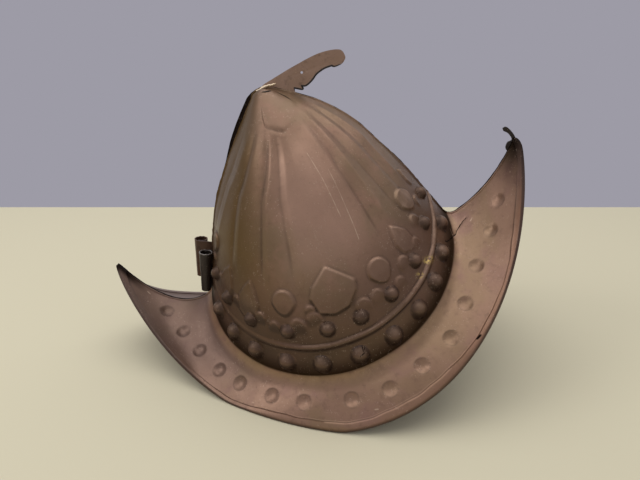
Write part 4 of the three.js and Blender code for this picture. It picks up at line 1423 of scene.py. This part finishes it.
# %% Sweep a tube and set it on the crown
def crown_behind(points, side):
    """x of the crown's outer face at the height and distance of each point."""
    turn, station = np.meshgrid(np.linspace(0, 0.5, 120), np.linspace(0.5, 0.99, 160))
    surface = half_point(side, turn, station).reshape(-1, 3)
    found = np.empty(len(points))
    for k, point in enumerate(points):
        away = (surface[:, 1] - point[1]) ** 2 + (surface[:, 2] - point[2]) ** 2
        found[k] = surface[away.argmin(), 0]
    return found


def tube_mesh(name, side, out, tail, lift, material):
    outside, inside = rolled_outline(tail + SHEET)
    rows = 44
    count = len(outside)
    height = np.linspace(0, 1, rows)
    grid = np.empty((rows, 2, count, 3))
    for layer, outline in enumerate((outside, inside)):
        grid[:, layer, :, :2] = outline
        grid[:, layer, :, 2] = height[:, None] * TUBE_LENGTH
    narrower = 1 - TUBE_TAPER * (1 - height)[:, None, None]
    on_tail = grid[..., 0] < -TUBE_DIAMETER / 2
    grid[..., 0] *= np.where(on_tail, 1, narrower)
    grid[..., 1] *= narrower
    dents = waves(grid, 0.12, 14, 8 + side)
    grid[..., :2] += dents[..., None] * 0.7
    notch = 0.35 * np.sin(np.arange(count) * 0.5) * ease(height, 0.9, 1)[:, None]
    grid[..., 2] -= np.abs(notch)[:, None, :]

    turn = math.asin(out / (MOUTH_WIDTH / 2))
    foot = sheet_point(turn, TUBE_STATION)
    below = sheet_point(turn, TUBE_STATION + 0.05) - sheet_point(turn, TUBE_STATION - 0.05)
    lean = math.atan2(below[0], -below[2])
    x, y, z = -grid[..., 0], side * grid[..., 1], grid[..., 2] - TUBE_LENGTH / 2 + lift
    points = np.stack([
        x * math.cos(lean) - z * math.sin(lean) + foot[0] - tail - TUBE_DIAMETER / 2,
        y + side * out,
        x * math.sin(lean) + z * math.cos(lean) + foot[2],
    ], -1).reshape(-1, 3)
    limit = crown_behind(points, side) - 0.45
    points[:, 0] = np.minimum(points[:, 0], limit)

    index = np.arange(rows * 2 * count).reshape(rows, 2, count)
    faces = []
    for layer, flip in ((0, False), (1, True)):
        a, b = index[:-1, layer, :-1], index[:-1, layer, 1:]
        c, d = index[1:, layer, 1:], index[1:, layer, :-1]
        faces += np.stack([a, d, c, b] if flip else [a, b, c, d], -1).reshape(-1, 4).tolist()
    for row, flip in ((0, True), (rows - 1, False)):
        a, b = index[row, 0, :-1], index[row, 0, 1:]
        c, d = index[row, 1, 1:], index[row, 1, :-1]
        faces += np.stack([a, d, c, b] if flip else [a, b, c, d], -1).reshape(-1, 4).tolist()
    for k in (0, count - 1):
        a, b, c, d = index[:-1, 0, k], index[:-1, 1, k], index[1:, 1, k], index[1:, 0, k]
        faces += np.stack([a, b, c, d], -1).reshape(-1, 4).tolist()
    mesh = bpy.data.meshes.new(name)
    mesh.from_pydata(points.tolist(), [], faces)
    raw = bpy.data.objects.new(name, mesh)
    bpy.context.collection.objects.link(raw)
    mouth_line = points.reshape(grid.shape)[-1].mean(axis=0)[9 + 3:-6] + [0, 0, 0.1]
    return placed(raw, "rolled_" + name, lambda p: p, material, 50), mouth_line


for name, sizes in TUBES.items():
    tube, mouth_line = tube_mesh(name, **sizes)
    # Painted reflection: a pale grey bead along the near tube's mouth.
    if name == "plume_tube_near":
        edge = placed(bead(mouth_line, 0.5), "worn_edge", lambda p: p, bright_edge)
        tube = merge([tube, edge], "rolled_" + name)
    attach(tube, "root")
    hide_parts(name)
    print(tube.name, "faces:", len(tube.data.polygons))

# %% [markdown]
# ## The stage
#
# A pale table top and soft light from a wide ceiling lamp, with a little from the left to model the
# domes. The table is only a stage and no part of the helmet. Its far edge lies where the backdrop
# begins, and the backdrop is the world's own plain colour.


# %% Table, light and world
def make_floor():
    mesh = bpy.data.meshes.new("floor")
    reach, back = 3.0, 0.376
    mesh.from_pydata([(-reach, -reach, 0), (reach, -reach, 0), (reach, back, 0), (-reach, back, 0)],
                     [], [(0, 1, 2, 3)])
    made = bpy.data.objects.new("floor", mesh)
    bpy.context.collection.objects.link(made)
    material = bpy.data.materials.new("pale_floor")
    material.use_nodes = True
    shader = material.node_tree.nodes["Principled BSDF"]
    shader.inputs["Base Color"].default_value = colour(200, 194, 168)
    shader.inputs["Roughness"].default_value = 0.85
    mesh.materials.append(material)
    return made


def area_light(name, place, size, power, tint):
    lamp = bpy.data.lights.new(name, "AREA")
    lamp.shape = "DISK"
    lamp.size = size
    lamp.energy = power
    lamp.color = tint
    made = bpy.data.objects.new(name, lamp)
    made.location = place
    aim = Vector((0, 0, 0.1)) - Vector(place)
    made.rotation_euler = aim.to_track_quat("-Z", "Y").to_euler()
    bpy.context.collection.objects.link(made)
    return made


def make_world(seen, lit, strength):
    """A plain room: one colour seen behind the table and another that lights the scene."""
    world = bpy.data.worlds.new("room")
    world.use_nodes = True
    tree = world.node_tree
    tree.nodes.clear()
    path = node(tree, "ShaderNodeLightPath").outputs["Is Camera Ray"]
    behind = node(tree, "ShaderNodeBackground", {"Color": seen, "Strength": 1.0})
    light = node(tree, "ShaderNodeBackground", {"Color": lit, "Strength": strength})
    mixed = node(tree, "ShaderNodeMixShader")
    out = node(tree, "ShaderNodeOutputWorld")
    tree.links.new(path, mixed.inputs[0])
    tree.links.new(light.outputs[0], mixed.inputs[1])
    tree.links.new(behind.outputs[0], mixed.inputs[2])
    tree.links.new(mixed.outputs[0], out.inputs["Surface"])
    bpy.context.scene.world = world


floor = make_floor()
area_light("ceiling", (-0.05, 0.05, 1.5), 1.7, 12.5, (1.0, 0.98, 0.95))
area_light("window", (-1.0, -0.3, 0.95), 0.7, 3.5, (1.0, 0.98, 0.96))
area_light("lamp", (0.9, 0.3, 1.5), 0.8, 1.4, (1.0, 0.97, 0.93))
make_world(colour(157, 155, 166), colour(210, 208, 214), 0.85)
bpy.context.scene.view_settings.view_transform = "Standard"
